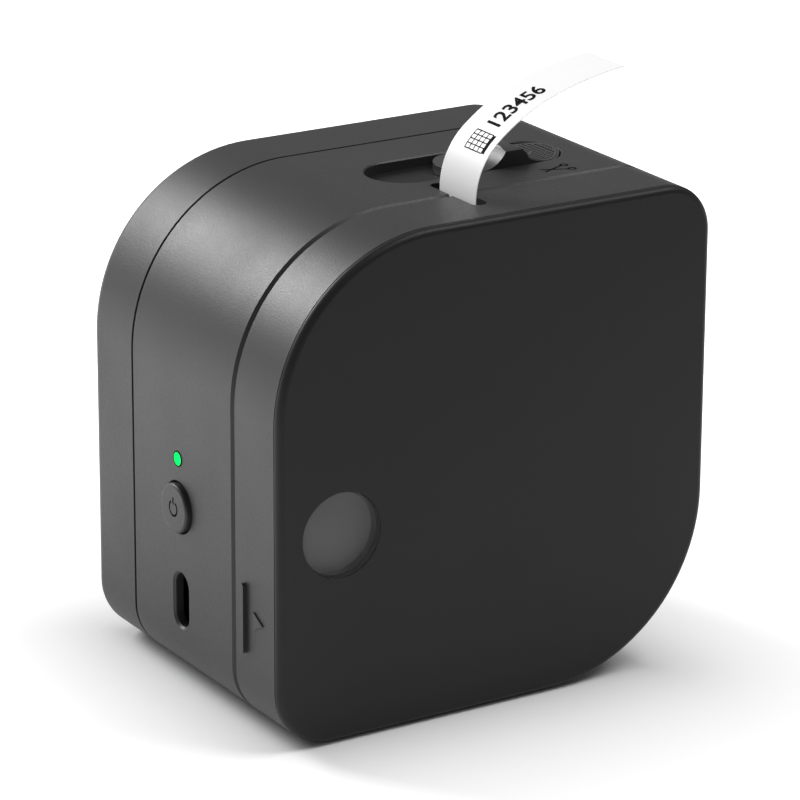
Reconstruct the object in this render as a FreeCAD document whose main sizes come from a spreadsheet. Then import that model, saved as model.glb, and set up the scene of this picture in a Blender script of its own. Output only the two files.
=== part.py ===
"""Label maker: a desk-top thermal label printer in a rounded square case.

The case is three shells: a front cover that pulls off towards -Y, a middle shell that
holds the works, and a rear cover over the battery.  X runs to the right as the front face
is seen, Y runs from front to back and Z is up.  The origin is on the table under the
middle of the case.
"""
import FreeCAD, Part
import math, os, re
import Sketcher

V = FreeCAD.Vector
doc = FreeCAD.newDocument("label_maker")

# ---------------------------------------------------------------- driving dimensions (mm)
SIZES = {
    # case
    "body_width": 92.0, "body_height": 93.5, "body_depth": 69.5,
    "corner_top_left": 32.5, "corner_top_right": 9.5,
    "corner_low_left": 11.2, "corner_low_right": 33.6,
    "front_cover_depth": 15.72, "rear_cover_depth": 16.13,
    "wall": 2.0, "fascia_thick": 1.5, "hairline": 0.2, "front_round": 1.35,
    "rear_round": 3.0, "seam_gap": 0.65, "seam_bevel": 0.85,
    "lip_thick": 1.1, "lip_reach": 1.4, "lip_root": 4.0, "lip_play": 0.12,
    "flange_width": 6.6, "flange_thick": 3.0, "ledge_width": 5.6, "plate_play": 0.15, "plate_screw": 0.8,
    "case_screw": 1.1, "case_post": 2.0, "case_head": 1.8, "screw_head": 1.2,
    "plaque_half": 22.0, "plaque_low": 12.0, "plaque_high": 38.0, "plaque_deep": 0.3,
    # feet
    "foot_radius": 4.0, "foot_proud": 0.5, "foot_sunk": 0.7,
    "feet_x_left": -30.0, "feet_x_right": 9.0, "feet_y_half": 12.0,
    # round window over the tape
    "window_x": -33.0, "window_z": 40.1, "window_radius": 8.1,
    "lens_play": 0.1, "lens_thick": 1.3, "lens_rim": 0.9, "lens_land": 0.4,
    # finger rib and arrow on the cover's left side
    "rib_y": 12.15, "rib_width": 1.3, "rib_low": 16.1, "rib_high": 29.7, "rib_proud": 0.78,
    "arrow_tip_y": 5.5, "arrow_back_y": 8.7, "arrow_z": 23.4, "arrow_half": 1.75,
    "arrow_proud": 0.3,
    # controls on the left side
    "control_gap": 0.47, "button_z": 36.25, "button_well": 5.0, "button_play": 0.3,
    "button_proud": 1.1, "button_travel": 0.5, "button_flange": 5.9, "button_round": 0.5,
    "button_pin": 1.5, "well_bevel": 0.15, "switch_high": 3.5, "switch_half": 3.0,
    "stem_radius": 1.7, "stem_sunk": 1.2, "led_z": 45.7, "led_radius": 1.5, "led_play": 0.05,
    "port_forward": 0.6, "port_z": 18.1, "port_long": 10.5, "port_wide": 5.2, "port_bevel": 0.45,
    "usb_long": 7.0, "usb_half": 1.63, "usb_skin": 0.33, "side_board_x": -36.4,
    "side_board_deep": 20.72, "board_thick": 1.2,
    # label tape, its roll and the cassette
    "tape_width": 12.0, "tape_thick": 0.15, "tape_x": 0.65, "tape_from_front": 15.43,
    "roll_radius": 20.0, "core_radius": 9.5, "hub_radius": 7.0, "spool_z": 36.5,
    "flange_radius": 19.0, "spool_flange": 1.2, "spool_play": 0.25, "running_play": 0.06,
    "case_wall": 1.5, "case_left": -42.2, "case_right": 9.6, "case_low": 9.0,
    "case_high": 62.0, "case_corner": 6.0, "pad_radius": 9.6, "pad_gap": 1.7,
    "guide_gap": 0.7, "guide_high": 4.0,
    "curl_start": 94.2, "curl_one": 14.0, "curl_two": 38.0, "curl_three": 75.0,
    # exit slot, lever slot
    "exit_wide": 3.15, "exit_x": 1.18, "exit_front": 8.05, "exit_back": 24.1,
    "slot_left": -6.9, "slot_right": 33.65, "slot_front": 26.2, "slot_back": 40.8,
    "slot_depth": 2.0, "slot_bevel": 0.25, "tray_thick": 1.2, "tray_margin": 1.85, "tray_left": -16.8,
    # lever and cutter
    "lever_left": 8.0, "lever_heel": 4.2, "lever_play": 0.3, "lever_travel": 14.6, "crest_x": 19.0,
    "crest_high": 3.6, "crest_shoulder": 2.9, "scoop_start": 23.4, "scoop_sunk": 0.35,
    "scoop_end": 0.45,
    "stem_y": -5.7, "stem_wide": 2.2, "stem_left": 17.5, "stem_long": 6.0, "stem_play": 0.2,
    "carriage_left": 4.0, "carriage_long": 22.0, "carriage_wide": 6.6, "carriage_high": 1.6,
    "blade_thick": 0.5, "blade_edge": 2.4, "blade_skew": 6.5, "blade_deep": 12.0,
    "blade_screw": 0.8, "anvil_left": -12.0, "anvil_thick": 0.5,
    "spring_radius": 0.62, "spring_wire": 0.24, "spring_turns": 12.0,
    # frame plate, roller, head
    "plate_thick": 2.0, "case_gap": 0.5, "roller_radius": 4.5, "roller_z": 73.0,
    "roller_gap": 0.04, "shaft_radius": 1.5, "bush_wall": 1.1, "head_high": 12.0,
    "head_thick": 1.0, "sink_thick": 2.0, "head_spring": 4.0, "head_coil": 1.3, "head_wire": 0.35,
    "head_turns": 4.0, "arm_thick": 1.2, "arm_foot": 7.0, "bracket_post": 2.0, "board_post": 2.4,
    "board_hole": 1.0, "pilot": 0.7, "clearance": 0.9, "small_shank": 0.68,
    # gear train
    "module": 0.6, "mesh_play": 0.12, "pinion_teeth": 12.0, "wheel_teeth": 36.0,
    "small_teeth": 14.0, "roller_teeth": 30.0, "gear_wide": 2.4, "gear_gap": 0.3,
    "idler_angle": -60.0, "motor_angle": -50.0, "motor_radius": 10.0, "motor_long": 13.5,
    "bracket_thick": 1.2, "idler_pin_radius": 1.2, "motor_shaft_radius": 1.0,
    # electronics and power
    "board_left": -30.0, "board_right": 28.0, "board_low": 16.0, "board_high": 76.0,
    "board_gap": 3.02, "cell_left": -25.0, "cell_wide": 50.0, "cell_low": 28.0,
    "cell_high": 34.0, "cell_thick": 9.0, "cell_round": 3.0, "pad_thick": 2.15,
}

dims = doc.addObject("Spreadsheet::Sheet", "dims")
for row, (word, size) in enumerate(SIZES.items(), start=1):
    dims.set(f"A{row}", word)
    dims.set(f"B{row}", str(size))
    dims.setAlias(f"B{row}", word)
doc.recompute()

# places that several pieces share, as expressions on the sheet
FRONT = "(-body_depth/2)"
SEAM_FRONT = "(front_cover_depth - body_depth/2)"
SEAM_REAR = "(body_depth/2 - rear_cover_depth)"
BACK = "(body_depth/2)"
LEFT = "(-body_width/2)"
BASE = "foot_proud"
TOP = "(body_height + foot_proud)"
TAPE_Y = "(tape_from_front - body_depth/2)"
SPOOL_X = "(tape_x - tape_thick/2 - roller_gap - roll_radius)"
SPOOL_HALF = "(tape_width/2 + spool_flange + 0.15)"
CASE_FRONT = f"({TAPE_Y} - {SPOOL_HALF} - spool_play)"
CASE_BACK = f"({TAPE_Y} + {SPOOL_HALF} + spool_play)"
PLATE_FRONT = f"({CASE_BACK} + case_wall + case_gap)"
PLATE_BACK = f"({PLATE_FRONT} + plate_thick)"
SLOT_Y = "((slot_front + slot_back)/2 - body_depth/2)"
SLOT_RADIUS = "((slot_back - slot_front)/2)"
FLOOR = f"({TOP} - slot_depth)"
TRAY_UNDER = f"({FLOOR} - tray_thick)"
CARRIAGE_Z = f"({TRAY_UNDER} - carriage_high - 0.15)"
BLADE_Z = f"({CARRIAGE_Z} - blade_thick)"
ANVIL_Z = f"({BLADE_Z} - 0.1 - anvil_thick)"
ROLLER_X = "(tape_x + tape_thick/2 + roller_gap + roller_radius)"
LAYER_ONE = f"({PLATE_BACK} + 0.5)"
LAYER_TWO = f"({LAYER_ONE} + gear_wide + gear_gap)"
BRACKET_Y = f"({LAYER_TWO} + gear_wide + 0.6)"
MOTOR_Y = f"({BRACKET_Y} + bracket_thick)"
BOARD_Y = f"({MOTOR_Y} + motor_long + board_gap)"
CELL_Y = f"({BACK} - wall - pad_thick - cell_thick)"
CONTROL_Y = f"({PLATE_BACK} + flange_thick + button_flange + control_gap)"
PORT_Y = f"({CONTROL_Y} - port_forward)"


def bound(text):
    """The expression with each sheet name written as dims.NAME."""
    return re.sub(r"[a-z_]+", lambda w: "dims." + w[0] if w[0] in SIZES else w[0], str(text))


def val(text):
    """The number that an expression on the sheet gives."""
    number = dims.evalExpression(bound(text))
    return float(getattr(number, "Value", number))


# ---------------------------------------------------------------- makers of plain features
def primitive(kind, label, sizes, place, turn=None):
    """A Part primitive with its sizes and its place bound to the sheet."""
    piece = doc.addObject("Part::" + kind, label)
    if turn:
        piece.Placement = FreeCAD.Placement(V(), FreeCAD.Rotation(*turn))
    for name, text in sizes.items():
        piece.setExpression(name, bound(text))
    for axis, text in zip("xyz", place):
        piece.setExpression(".Placement.Base." + axis, bound(text))
    return piece


def box(label, low, high):
    """A box between two corners."""
    sizes = {name: f"({b}) - ({a})" for name, a, b in zip(("Length", "Width", "Height"), low, high)}
    return primitive("Box", label, sizes, low)


def rod(label, axis, radius, start, end, one, two):
    """A cylinder along X, Y or Z from start to end; one and two place it across."""
    turn = {"x": (V(0, 1, 0), 90), "y": (V(1, 0, 0), -90), "z": None}[axis]
    place = {"x": (start, one, two), "y": (one, start, two), "z": (one, two, start)}[axis]
    return primitive("Cylinder", label, {"Radius": radius, "Height": f"({end}) - ({start})"}, place, turn)


def fuse(label, pieces):
    result = doc.addObject("Part::MultiFuse", label)
    result.Shapes = pieces
    result.Refine = True
    return result


def cut(label, base, tools):
    result = doc.addObject("Part::Cut", label)
    result.Base = base
    result.Tool = tools[0] if len(tools) == 1 else fuse(label + "_tools", tools)
    return result


def compound(label, pieces):
    """Several like solids in one node, kept as separate solids."""
    result = doc.addObject("Part::Compound", label)
    result.Links = pieces
    return result


def shaped(label, shape):
    """A piece whose shape is worked out with Part's own functions."""
    piece = doc.addObject("Part::Feature", label)
    piece.Shape = shape
    return piece


# ---------------------------------------------------------------- makers of sketched features
def pin(sketch, geometry, point, x, y):
    """Hold one point of the sketch at an expression's place."""
    for kind, text in (("DistanceX", x), ("DistanceY", y)):
        number = sketch.addConstraint(Sketcher.Constraint(kind, -1, 1, geometry, point, val(text)))
        sketch.setExpression(f"Constraints[{number}]", bound(text))


def hold(sketch, kind, geometry, text):
    number = sketch.addConstraint(Sketcher.Constraint(kind, geometry, val(text)))
    sketch.setExpression(f"Constraints[{number}]", bound(text))


def circle(x, y, radius):
    def draw(sketch):
        g = sketch.addGeometry(Part.Circle(V(val(x), val(y), 0), V(0, 0, 1), val(radius)))
        pin(sketch, g, 3, x, y)
        hold(sketch, "Radius", g, radius)
    return draw


def polygon(points):
    def draw(sketch):
        corners = [V(val(x), val(y), 0) for x, y in points]
        count = len(corners)
        first = sketch.GeometryCount
        for i in range(count):
            sketch.addGeometry(Part.LineSegment(corners[i], corners[(i + 1) % count]))
        for i in range(count):
            following = first + (i + 1) % count
            sketch.addConstraint(Sketcher.Constraint("Coincident", first + i, 2, following, 1))
            pin(sketch, first + i, 1, *points[i])
    return draw


def rectangle(x0, y0, x1, y1):
    return polygon([(x0, y0), (x1, y0), (x1, y1), (x0, y1)])


def rounded(x0, y0, x1, y1, radii):
    """A rectangle with arcs at its low-left, low-right, high-right and high-left corners."""
    def draw(sketch):
        a, b, c, d = (val(t) for t in (x0, y0, x1, y1))
        r = [val(t) for t in radii]
        spots = [(a + r[0], b + r[0]), (c - r[1], b + r[1]), (c - r[2], d - r[2]), (a + r[3], d - r[3])]
        arcs = []
        for i, (spot, radius) in enumerate(zip(spots, r)):
            start = math.pi + i * math.pi / 2
            ring = Part.Circle(V(*spot, 0), V(0, 0, 1), radius)
            arcs.append(sketch.addGeometry(Part.ArcOfCircle(ring, start, start + math.pi / 2)))
        ends = [((a + r[0], b), (c - r[1], b)), ((c, b + r[1]), (c, d - r[2])),
                ((c - r[2], d), (a + r[3], d)), ((a, d - r[3]), (a, b + r[0]))]
        lines = [sketch.addGeometry(Part.LineSegment(V(*p, 0), V(*q, 0))) for p, q in ends]
        for i in range(4):
            sketch.addConstraint(Sketcher.Constraint("Tangent", arcs[i], 2, lines[i], 1))
            sketch.addConstraint(Sketcher.Constraint("Tangent", lines[i], 2, arcs[(i + 1) % 4], 1))
            sketch.addConstraint(Sketcher.Constraint(("Horizontal", "Vertical")[i % 2], lines[i]))
            hold(sketch, "Radius", arcs[i], radii[i])
        for line, kind, text in ((0, "DistanceY", y0), (1, "DistanceX", x1), (2, "DistanceY", y1),
                                 (3, "DistanceX", x0)):
            number = sketch.addConstraint(Sketcher.Constraint(kind, -1, 1, lines[line], 1, val(text)))
            sketch.setExpression(f"Constraints[{number}]", bound(text))
    return draw


def stadium(x0, y0, x1, y1, along="x"):
    """A slot with half-round ends that fills the box, its length along x or y."""
    def draw(sketch):
        half = f"(({y1}) - ({y0}))/2" if along == "x" else f"(({x1}) - ({x0}))/2"
        middle = f"(({y0}) + ({y1}))/2" if along == "x" else f"(({x0}) + ({x1}))/2"
        if along == "x":
            ends = [(f"{x0} + {half}", middle), (f"{x1} - {half}", middle)]
            start = math.pi / 2
        else:
            ends = [(middle, f"{y0} + {half}"), (middle, f"{y1} - {half}")]
            start = math.pi
        radius = val(half)
        arcs = []
        for i, (x, y) in enumerate(ends):
            ring = Part.Circle(V(val(x), val(y), 0), V(0, 0, 1), radius)
            angle = start + i * math.pi
            arcs.append(sketch.addGeometry(Part.ArcOfCircle(ring, angle, angle + math.pi)))
        for i in range(2):
            p = sketch.getPoint(arcs[i], 2)
            q = sketch.getPoint(arcs[1 - i], 1)
            line = sketch.addGeometry(Part.LineSegment(p, q))
            sketch.addConstraint(Sketcher.Constraint("Tangent", arcs[i], 2, line, 1))
            sketch.addConstraint(Sketcher.Constraint("Tangent", line, 2, arcs[1 - i], 1))
        hold(sketch, "Radius", arcs[0], half)
        sketch.addConstraint(Sketcher.Constraint("Equal", arcs[0], arcs[1]))
        for arc, (x, y) in zip(arcs, ends):
            pin(sketch, arc, 3, x, y)
    return draw


def outline(inset):
    """The case's outline, seen from the front, drawn in by a distance."""
    corners = ("corner_low_left", "corner_low_right", "corner_top_right", "corner_top_left")
    return rounded(f"{LEFT} + ({inset})", f"{BASE} + ({inset})", f"body_width/2 - ({inset})",
                   f"{TOP} - ({inset})", [f"max({c} - ({inset}); 0.3)" for c in corners])


def new_body(label):
    return doc.addObject("PartDesign::Body", label)


def prism(body, kind, across, low, high, *drawings):
    """A Pad or Pocket of the drawings between two heights along the axis across them."""
    role = {"x": "YZ_Plane", "y": "XZ_Plane", "z": "XY_Plane"}[across]
    plane = [f for f in body.Origin.OriginFeatures if f.Role == role][0]
    sketch = body.newObject("Sketcher::SketchObject", f"{body.Label}_sketch")
    sketch.AttachmentSupport = [(plane, "")]
    sketch.MapMode = "FlatFace"
    from_high = (kind == "Pad") == (across == "y")
    height = f"({high})" if from_high else f"({low})"
    sketch.setExpression(".AttachmentOffset.Base.z", bound(f"-{height}" if across == "y" else height))
    for draw in drawings:
        draw(sketch)
    before = body.Shape.Volume if body.Tip else 0.0
    feature = body.newObject("PartDesign::" + kind, f"{body.Label}_{kind.lower()}")
    feature.Profile = sketch
    feature.setExpression("Length", bound(f"({high}) - ({low})"))
    sketch.Visibility = False
    doc.recompute()
    gained = feature.Shape.Volume - before
    if abs(gained) < 1e-6 or (gained > 0) != (kind == "Pad"):
        raise RuntimeError(f"{body.Label}: a {kind} between {low} and {high} did nothing")
    return feature


def dress(body, kind, size, test):
    """A Fillet or Chamfer on the edges of the body's last feature that pass the test."""
    base = body.Tip
    names = [f"Edge{i}" for i, edge in enumerate(base.Shape.Edges, start=1) if test(edge)]
    if not names:
        raise RuntimeError(f"{body.Label}: no edge found for a {kind}")
    feature = body.newObject("PartDesign::" + kind, f"{body.Label}_{kind.lower()}")
    feature.Base = (base, names)
    feature.setExpression("Radius" if kind == "Fillet" else "Size", bound(size))
    doc.recompute()
    return feature


def flat_at(axis, place):
    """A test for edges that lie whole at one height along an axis."""
    index = "xyz".index(axis)
    names = (("XMin", "XMax"), ("YMin", "YMax"), ("ZMin", "ZMax"))[index]

    def test(edge):
        span = edge.BoundBox
        return all(abs(getattr(span, name) - val(place)) < 1e-4 for name in names)
    return test


def all_of(*tests):
    return lambda edge: all(test(edge) for test in tests)


def longer(text):
    return lambda edge: edge.Length > val(text)


def runs_along(edge, axis):
    span = edge.BoundBox
    return {"x": span.XLength, "y": span.YLength, "z": span.ZLength}[axis] > 0.9 * edge.Length


def rim_of(axis, place, low, high):
    """A test for the rim of an opening: edges flat at a place, between two corners across it."""
    names = [name for name in "xyz" if name != axis]

    def test(edge):
        middle = edge.BoundBox.Center
        inside = all(val(a) - 0.01 < getattr(middle, name) < val(b) + 0.01
                     for name, a, b in zip(names, low, high))
        return inside and flat_at(axis, place)(edge)
    return test


# ---------------------------------------------------------------- finding edges
def corners():
    """Centre and radius of each round corner of the case."""
    left, low, high = val(LEFT), val(BASE), val(TOP)
    r = {word: val(word) for word in SIZES if word.startswith("corner_")}
    return [(left + r["corner_top_left"], high - r["corner_top_left"], r["corner_top_left"]),
            (-left - r["corner_top_right"], high - r["corner_top_right"], r["corner_top_right"]),
            (left + r["corner_low_left"], low + r["corner_low_left"], r["corner_low_left"]),
            (-left - r["corner_low_right"], low + r["corner_low_right"], r["corner_low_right"])]


def on_outline(edge):
    """True for an edge on the case's outer outline."""
    spot = edge.valueAt((edge.FirstParameter + edge.LastParameter) / 2)
    half, low, high = -val(LEFT), val(BASE), val(TOP)
    if min(half - abs(spot.x), spot.z - low, high - spot.z) < 0.01:
        return True
    return any(abs(math.hypot(spot.x - x, spot.z - z) - r) < 0.01 for x, z, r in corners())


# ================================================================ case
INNER = "wall"
LIP_OUT = "(wall + lip_play)"
LIP_IN = "(wall + lip_play + lip_thick)"
SHELL_FRONT = f"({SEAM_FRONT} + seam_gap/2)"
SHELL_BACK = f"({SEAM_REAR} - seam_gap/2)"
COVER_FRONT = f"({FRONT} + fascia_thick + hairline)"
COVER_BACK = f"({SEAM_FRONT} - seam_gap/2)"
REAR_FRONT = f"({SEAM_REAR} + seam_gap/2)"
EXIT = ("exit_x - exit_wide/2", f"{FRONT} + exit_front", "exit_x + exit_wide/2", f"{FRONT} + exit_back")
LEDGE_IN, FLANGE_IN = "(wall + ledge_width)", "(wall + flange_width)"
TRAY_BAY = ("tray_left - 0.1", f"{FRONT} + slot_front - tray_margin - 0.1",
            "slot_right + tray_margin + 0.1", f"{FRONT} + slot_back + tray_margin + 0.1")
FEET_X, FEET_Y = ("feet_x_left", "feet_x_right"), ("-feet_y_half", "feet_y_half")


def inset_spots(inset):
    """Four places drawn in from the case's outline: on the round corners' diagonals."""
    spots = []
    for name, across, up in (("corner_top_left", -1, 1), ("corner_top_right", 1, 1),
                             ("corner_low_left", -1, -1), ("corner_low_right", 1, -1)):
        reach = f"({name} - ({name} - ({inset}))*{math.sqrt(0.5):.6f})"
        x = f"({LEFT} + {reach})" if across < 0 else f"(body_width/2 - {reach})"
        z = f"({BASE} + {reach})" if up < 0 else f"({TOP} - {reach})"
        spots.append((x, z))
    return spots


PLATE_SCREWS = inset_spots("wall + ledge_width*0.65")
CASE_SCREWS = inset_spots("wall + flange_width/2")
ABOVE, BELOW = f"{TOP} + 5", f"{TRAY_UNDER} - 1"
SLOT = ("slot_left", f"{FRONT} + slot_front", "slot_right", f"{FRONT} + slot_back")
PORT = (f"{PORT_Y} - port_wide/2", "port_z - port_long/2", f"{PORT_Y} + port_wide/2",
        "port_z + port_long/2")
WELL = [(f"{CONTROL_Y} {side} 0.1", f"button_z {side} 0.1") for side in "-+"]


def front_fascia():
    """The flat front face: a plate with a rounded edge and a rim that locates it in the band."""
    body = new_body("front_fascia")
    prism(body, "Pad", "y", FRONT, f"{FRONT} + fascia_thick", outline("0"))
    dress(body, "Fillet", "front_round", all_of(flat_at("y", FRONT), longer("1")))
    prism(body, "Pad", "y", f"{FRONT} + fascia_thick", f"{FRONT} + fascia_thick + 2",
          outline(LIP_OUT), outline(LIP_IN))
    lens_hole = circle("window_x", "window_z", "window_radius")
    rim_hole = circle("window_x", "window_z", "window_radius + lens_rim + lens_play")
    prism(body, "Pocket", "y", FRONT, f"{FRONT} + fascia_thick", lens_hole)
    prism(body, "Pocket", "y", f"{FRONT} + lens_thick - 0.6", f"{FRONT} + fascia_thick", rim_hole)
    return body


def window_lens():
    """Clear disc, flush with the face and held from behind by its rim."""
    body = new_body("window_lens")
    disc = circle("window_x", "window_z", "window_radius - lens_play")
    rim = circle("window_x", "window_z", "window_radius + lens_rim")
    prism(body, "Pad", "y", f"{FRONT} + 0.05", f"{FRONT} + lens_thick", disc)
    prism(body, "Pad", "y", f"{FRONT} + lens_thick - 0.5", f"{FRONT} + lens_thick", rim)
    return body


def lens_ring():
    """Collar glued behind the lens: it holds the rim in the face and lines the view of the tape."""
    return ring("lens_ring", ("window_x", "window_z"), f"({FRONT} + lens_thick)", f"({PAD_FRONT} - 0.25)",
                "window_radius + lens_rim", "window_radius - lens_land")


def front_cover():
    """The band of the front cover, with a finger rib and an arrow on its left side."""
    body = new_body("front_cover")
    prism(body, "Pad", "y", COVER_FRONT, COVER_BACK, outline("0"), outline(INNER))
    prism(body, "Pad", "x", f"{LEFT} - rib_proud", f"{LEFT} + wall/2",
          stadium(f"{FRONT} + rib_y - rib_width/2", "rib_low", f"{FRONT} + rib_y + rib_width/2",
                  "rib_high", "y"))
    prism(body, "Pad", "x", f"{LEFT} - arrow_proud", f"{LEFT} + wall/2",
          polygon([(f"{FRONT} + arrow_tip_y", "arrow_z"),
                   (f"{FRONT} + arrow_back_y", "arrow_z - arrow_half"),
                   (f"{FRONT} + arrow_back_y", "arrow_z + arrow_half")]))
    prism(body, "Pocket", "z", BELOW, ABOVE, stadium(*EXIT, "y"))
    return body


def middle_shell():
    """The band round the works, with a lip under each cover and openings for the controls."""
    body = new_body("middle_shell")
    prism(body, "Pad", "y", SHELL_FRONT, SHELL_BACK, outline("0"), outline(INNER))
    dress(body, "Chamfer", "seam_bevel", all_of(flat_at("y", SHELL_FRONT), on_outline))
    prism(body, "Pad", "y", f"{SHELL_FRONT} - lip_reach", f"{SHELL_FRONT} + lip_root",
          outline(LIP_OUT), outline(LIP_IN))
    prism(body, "Pad", "y", f"{SHELL_FRONT} + 0.6", f"{SHELL_FRONT} + lip_root",
          outline("wall/2"), outline(LIP_IN))
    prism(body, "Pad", "y", PLATE_BACK, f"{PLATE_BACK} + flange_thick", outline("wall/2"), outline(LEDGE_IN))
    prism(body, "Pad", "y", f"{SHELL_BACK} - flange_thick", SHELL_BACK, outline("wall/2"), outline(FLANGE_IN))
    prism(body, "Pad", "y", f"{SHELL_BACK} - 1", f"{SHELL_BACK} + lip_reach",
          outline(LIP_OUT), outline(LIP_IN))
    prism(body, "Pocket", "z", FLOOR, ABOVE, stadium(*SLOT))
    prism(body, "Pocket", "z", f"{CARRIAGE_Z} - 3", FLOOR, rectangle(*TRAY_BAY))
    prism(body, "Pocket", "z", BELOW, ABOVE, stadium(*EXIT, "y"))
    outside, inside = f"{LEFT} - 1", f"{LEFT} + wall + 0.5"
    prism(body, "Pocket", "x", outside, inside, circle(CONTROL_Y, "button_z", "button_well"))
    prism(body, "Pocket", "x", outside, inside, circle(CONTROL_Y, "led_z", "led_radius + led_play"))
    prism(body, "Pocket", "x", outside, inside, stadium(*PORT, "y"))
    dress(body, "Chamfer", "port_bevel", rim_of("x", LEFT, PORT[:2], PORT[2:]))
    dress(body, "Chamfer", "well_bevel", rim_of("x", LEFT, *WELL))
    dress(body, "Chamfer", "slot_bevel", rim_of("z", TOP, SLOT[:2], SLOT[2:]))
    feet = [circle(x, y, "foot_radius + 0.1") for x in FEET_X for y in FEET_Y]
    prism(body, "Pocket", "z", BASE, f"{BASE} + foot_sunk", *feet)
    prism(body, "Pocket", "y", PLATE_BACK, f"{PLATE_BACK} + flange_thick",
          *[circle(x, z, "plate_screw - 0.1") for x, z in PLATE_SCREWS])
    prism(body, "Pocket", "y", f"{SHELL_BACK} - flange_thick", SHELL_BACK,
          *[circle(x, z, "case_screw - 0.15") for x, z in CASE_SCREWS])
    return body


def rear_cover():
    """The back of the case: a dish with rounded edges, four screw posts and a label recess."""
    body = new_body("rear_cover")
    prism(body, "Pad", "y", REAR_FRONT, BACK, outline("0"))
    dress(body, "Fillet", "rear_round", all_of(flat_at("y", BACK), on_outline))
    prism(body, "Pocket", "y", REAR_FRONT, f"{BACK} - wall", outline(INNER))
    prism(body, "Pad", "y", SHELL_BACK, f"{BACK} - wall",
          *[circle(x, z, "case_post") for x, z in CASE_SCREWS])
    prism(body, "Pocket", "y", SHELL_BACK, BACK, *[circle(x, z, "case_screw + 0.1") for x, z in CASE_SCREWS])
    prism(body, "Pocket", "y", f"{BACK} - screw_head", BACK,
          *[circle(x, z, "case_head + 0.1") for x, z in CASE_SCREWS])
    prism(body, "Pocket", "y", f"{BACK} - plaque_deep", BACK,
          rounded("-plaque_half", "plaque_low", "plaque_half", "plaque_high", ["2"] * 4))
    return body


def screws(label, axis, spots, start, end, radius, head, head_thick, head_at="start"):
    """Identical screws, each a shank with a round head at its start or its end."""
    made = []
    for number, (one, two) in enumerate(spots, start=1):
        shank = rod(f"{label}_shank_{number}", axis, radius, start, end, one, two)
        if head_at == "start":
            cap = rod(f"{label}_head_{number}", axis, head, f"{start} - {head_thick}", start, one, two)
        else:
            cap = rod(f"{label}_head_{number}", axis, head, end, f"{end} + {head_thick}", one, two)
        made.append(fuse(f"{label}_{number}", [shank, cap]))
    return compound(label, made)


def case_hardware():
    """Rubber feet under the middle shell, and the screws through the rear cover."""
    feet = [rod(f"foot_{n}", "z", "foot_radius", "0", f"{BASE} + foot_sunk", x, y)
            for n, (x, y) in enumerate([(x, y) for x in FEET_X for y in FEET_Y], start=1)]
    rear = screws("case_screws", "y", CASE_SCREWS, f"{SHELL_BACK} - flange_thick + 0.3",
                  f"{BACK} - screw_head", "case_screw - 0.17", "case_head", "screw_head - 0.1", "end")
    return [compound("rubber_feet", feet), rear]


# ================================================================ controls on the left side
SWITCH_X = "(side_board_x - switch_high)"
STEM_OUT = f"({SWITCH_X} - 1.6)"


def power_button():
    """Round push button with a collar behind the wall and a pin that reaches the switch."""
    body = new_body("power_button")
    prism(body, "Pad", "x", f"{LEFT} - button_proud", f"{LEFT} + wall + 0.1",
          circle(CONTROL_Y, "button_z", "button_well - button_play"))
    dress(body, "Fillet", "button_round", flat_at("x", f"{LEFT} - button_proud"))
    prism(body, "Pad", "x", f"{LEFT} + wall + 0.1", f"{LEFT} + wall + 1",
          circle(CONTROL_Y, "button_z", "button_flange"))
    prism(body, "Pad", "x", f"{LEFT} + wall + 1", STEM_OUT, circle(CONTROL_Y, "button_z", "button_pin"))
    return body


def controls():
    """The side board with its switch, light and charging socket."""
    stem = rod("switch_stem", "x", "stem_radius", STEM_OUT, f"{SWITCH_X} + stem_sunk", CONTROL_Y, "button_z")
    block = box("switch_block", (SWITCH_X, f"{CONTROL_Y} - switch_half", "button_z - switch_half"),
                ("side_board_x", f"{CONTROL_Y} + switch_half", "button_z + switch_half"))
    bore = rod("switch_bore", "x", "stem_radius + running_play", f"{SWITCH_X} - 1",
               f"{SWITCH_X} + stem_sunk + 0.1 + button_travel", CONTROL_Y, "button_z")
    switch = cut("tact_switch", block, [bore])
    pipe = fuse("led_pipe", [
        rod("led_pipe_rod", "x", "led_radius", f"{LEFT} - 0.1", "side_board_x - 1", CONTROL_Y, "led_z"),
        rod("led_pipe_collar", "x", "led_radius + 0.9", f"{LEFT} + wall + 0.05", f"{LEFT} + wall + 1",
            CONTROL_Y, "led_z")])
    light = box("status_led", ("side_board_x - 0.9", f"{CONTROL_Y} - 1", "led_z - 0.6"),
                ("side_board_x", f"{CONTROL_Y} + 1", "led_z + 0.6"))
    board = box("side_board", ("side_board_x", PLATE_BACK, "port_z - 9"),
                ("side_board_x + board_thick", f"{PLATE_BACK} + side_board_deep", "led_z + 7"))
    return [stem, switch, pipe, light, board]


USB_REACH = "2.84"


def usb_shell():
    """Steel shell of the charging socket, standing on the side board."""
    body = new_body("usb_shell")
    mouth, back = "(side_board_x - usb_long)", "side_board_x"
    wide, inner = "usb_half", "(usb_half - usb_skin)"
    prism(body, "Pad", "x", mouth, back,
          stadium(f"{PORT_Y} - {wide}", f"port_z - {wide} - {USB_REACH}", f"{PORT_Y} + {wide}",
                  f"port_z + {wide} + {USB_REACH}", "y"))
    prism(body, "Pocket", "x", mouth, f"{mouth} + usb_long - 0.8",
          stadium(f"{PORT_Y} - {inner}", f"port_z - {inner} - {USB_REACH}", f"{PORT_Y} + {inner}",
                  f"port_z + {inner} + {USB_REACH}", "y"))
    return body


def usb_tongue():
    """The contact tongue inside the socket's shell."""
    return box("usb_tongue",
               ("side_board_x - usb_long + 1.2", f"{PORT_Y} - board_thick*0.3", "port_z - 3.35"),
               ("side_board_x - 0.8", f"{PORT_Y} + board_thick*0.3", "port_z + 3.35"))


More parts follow.
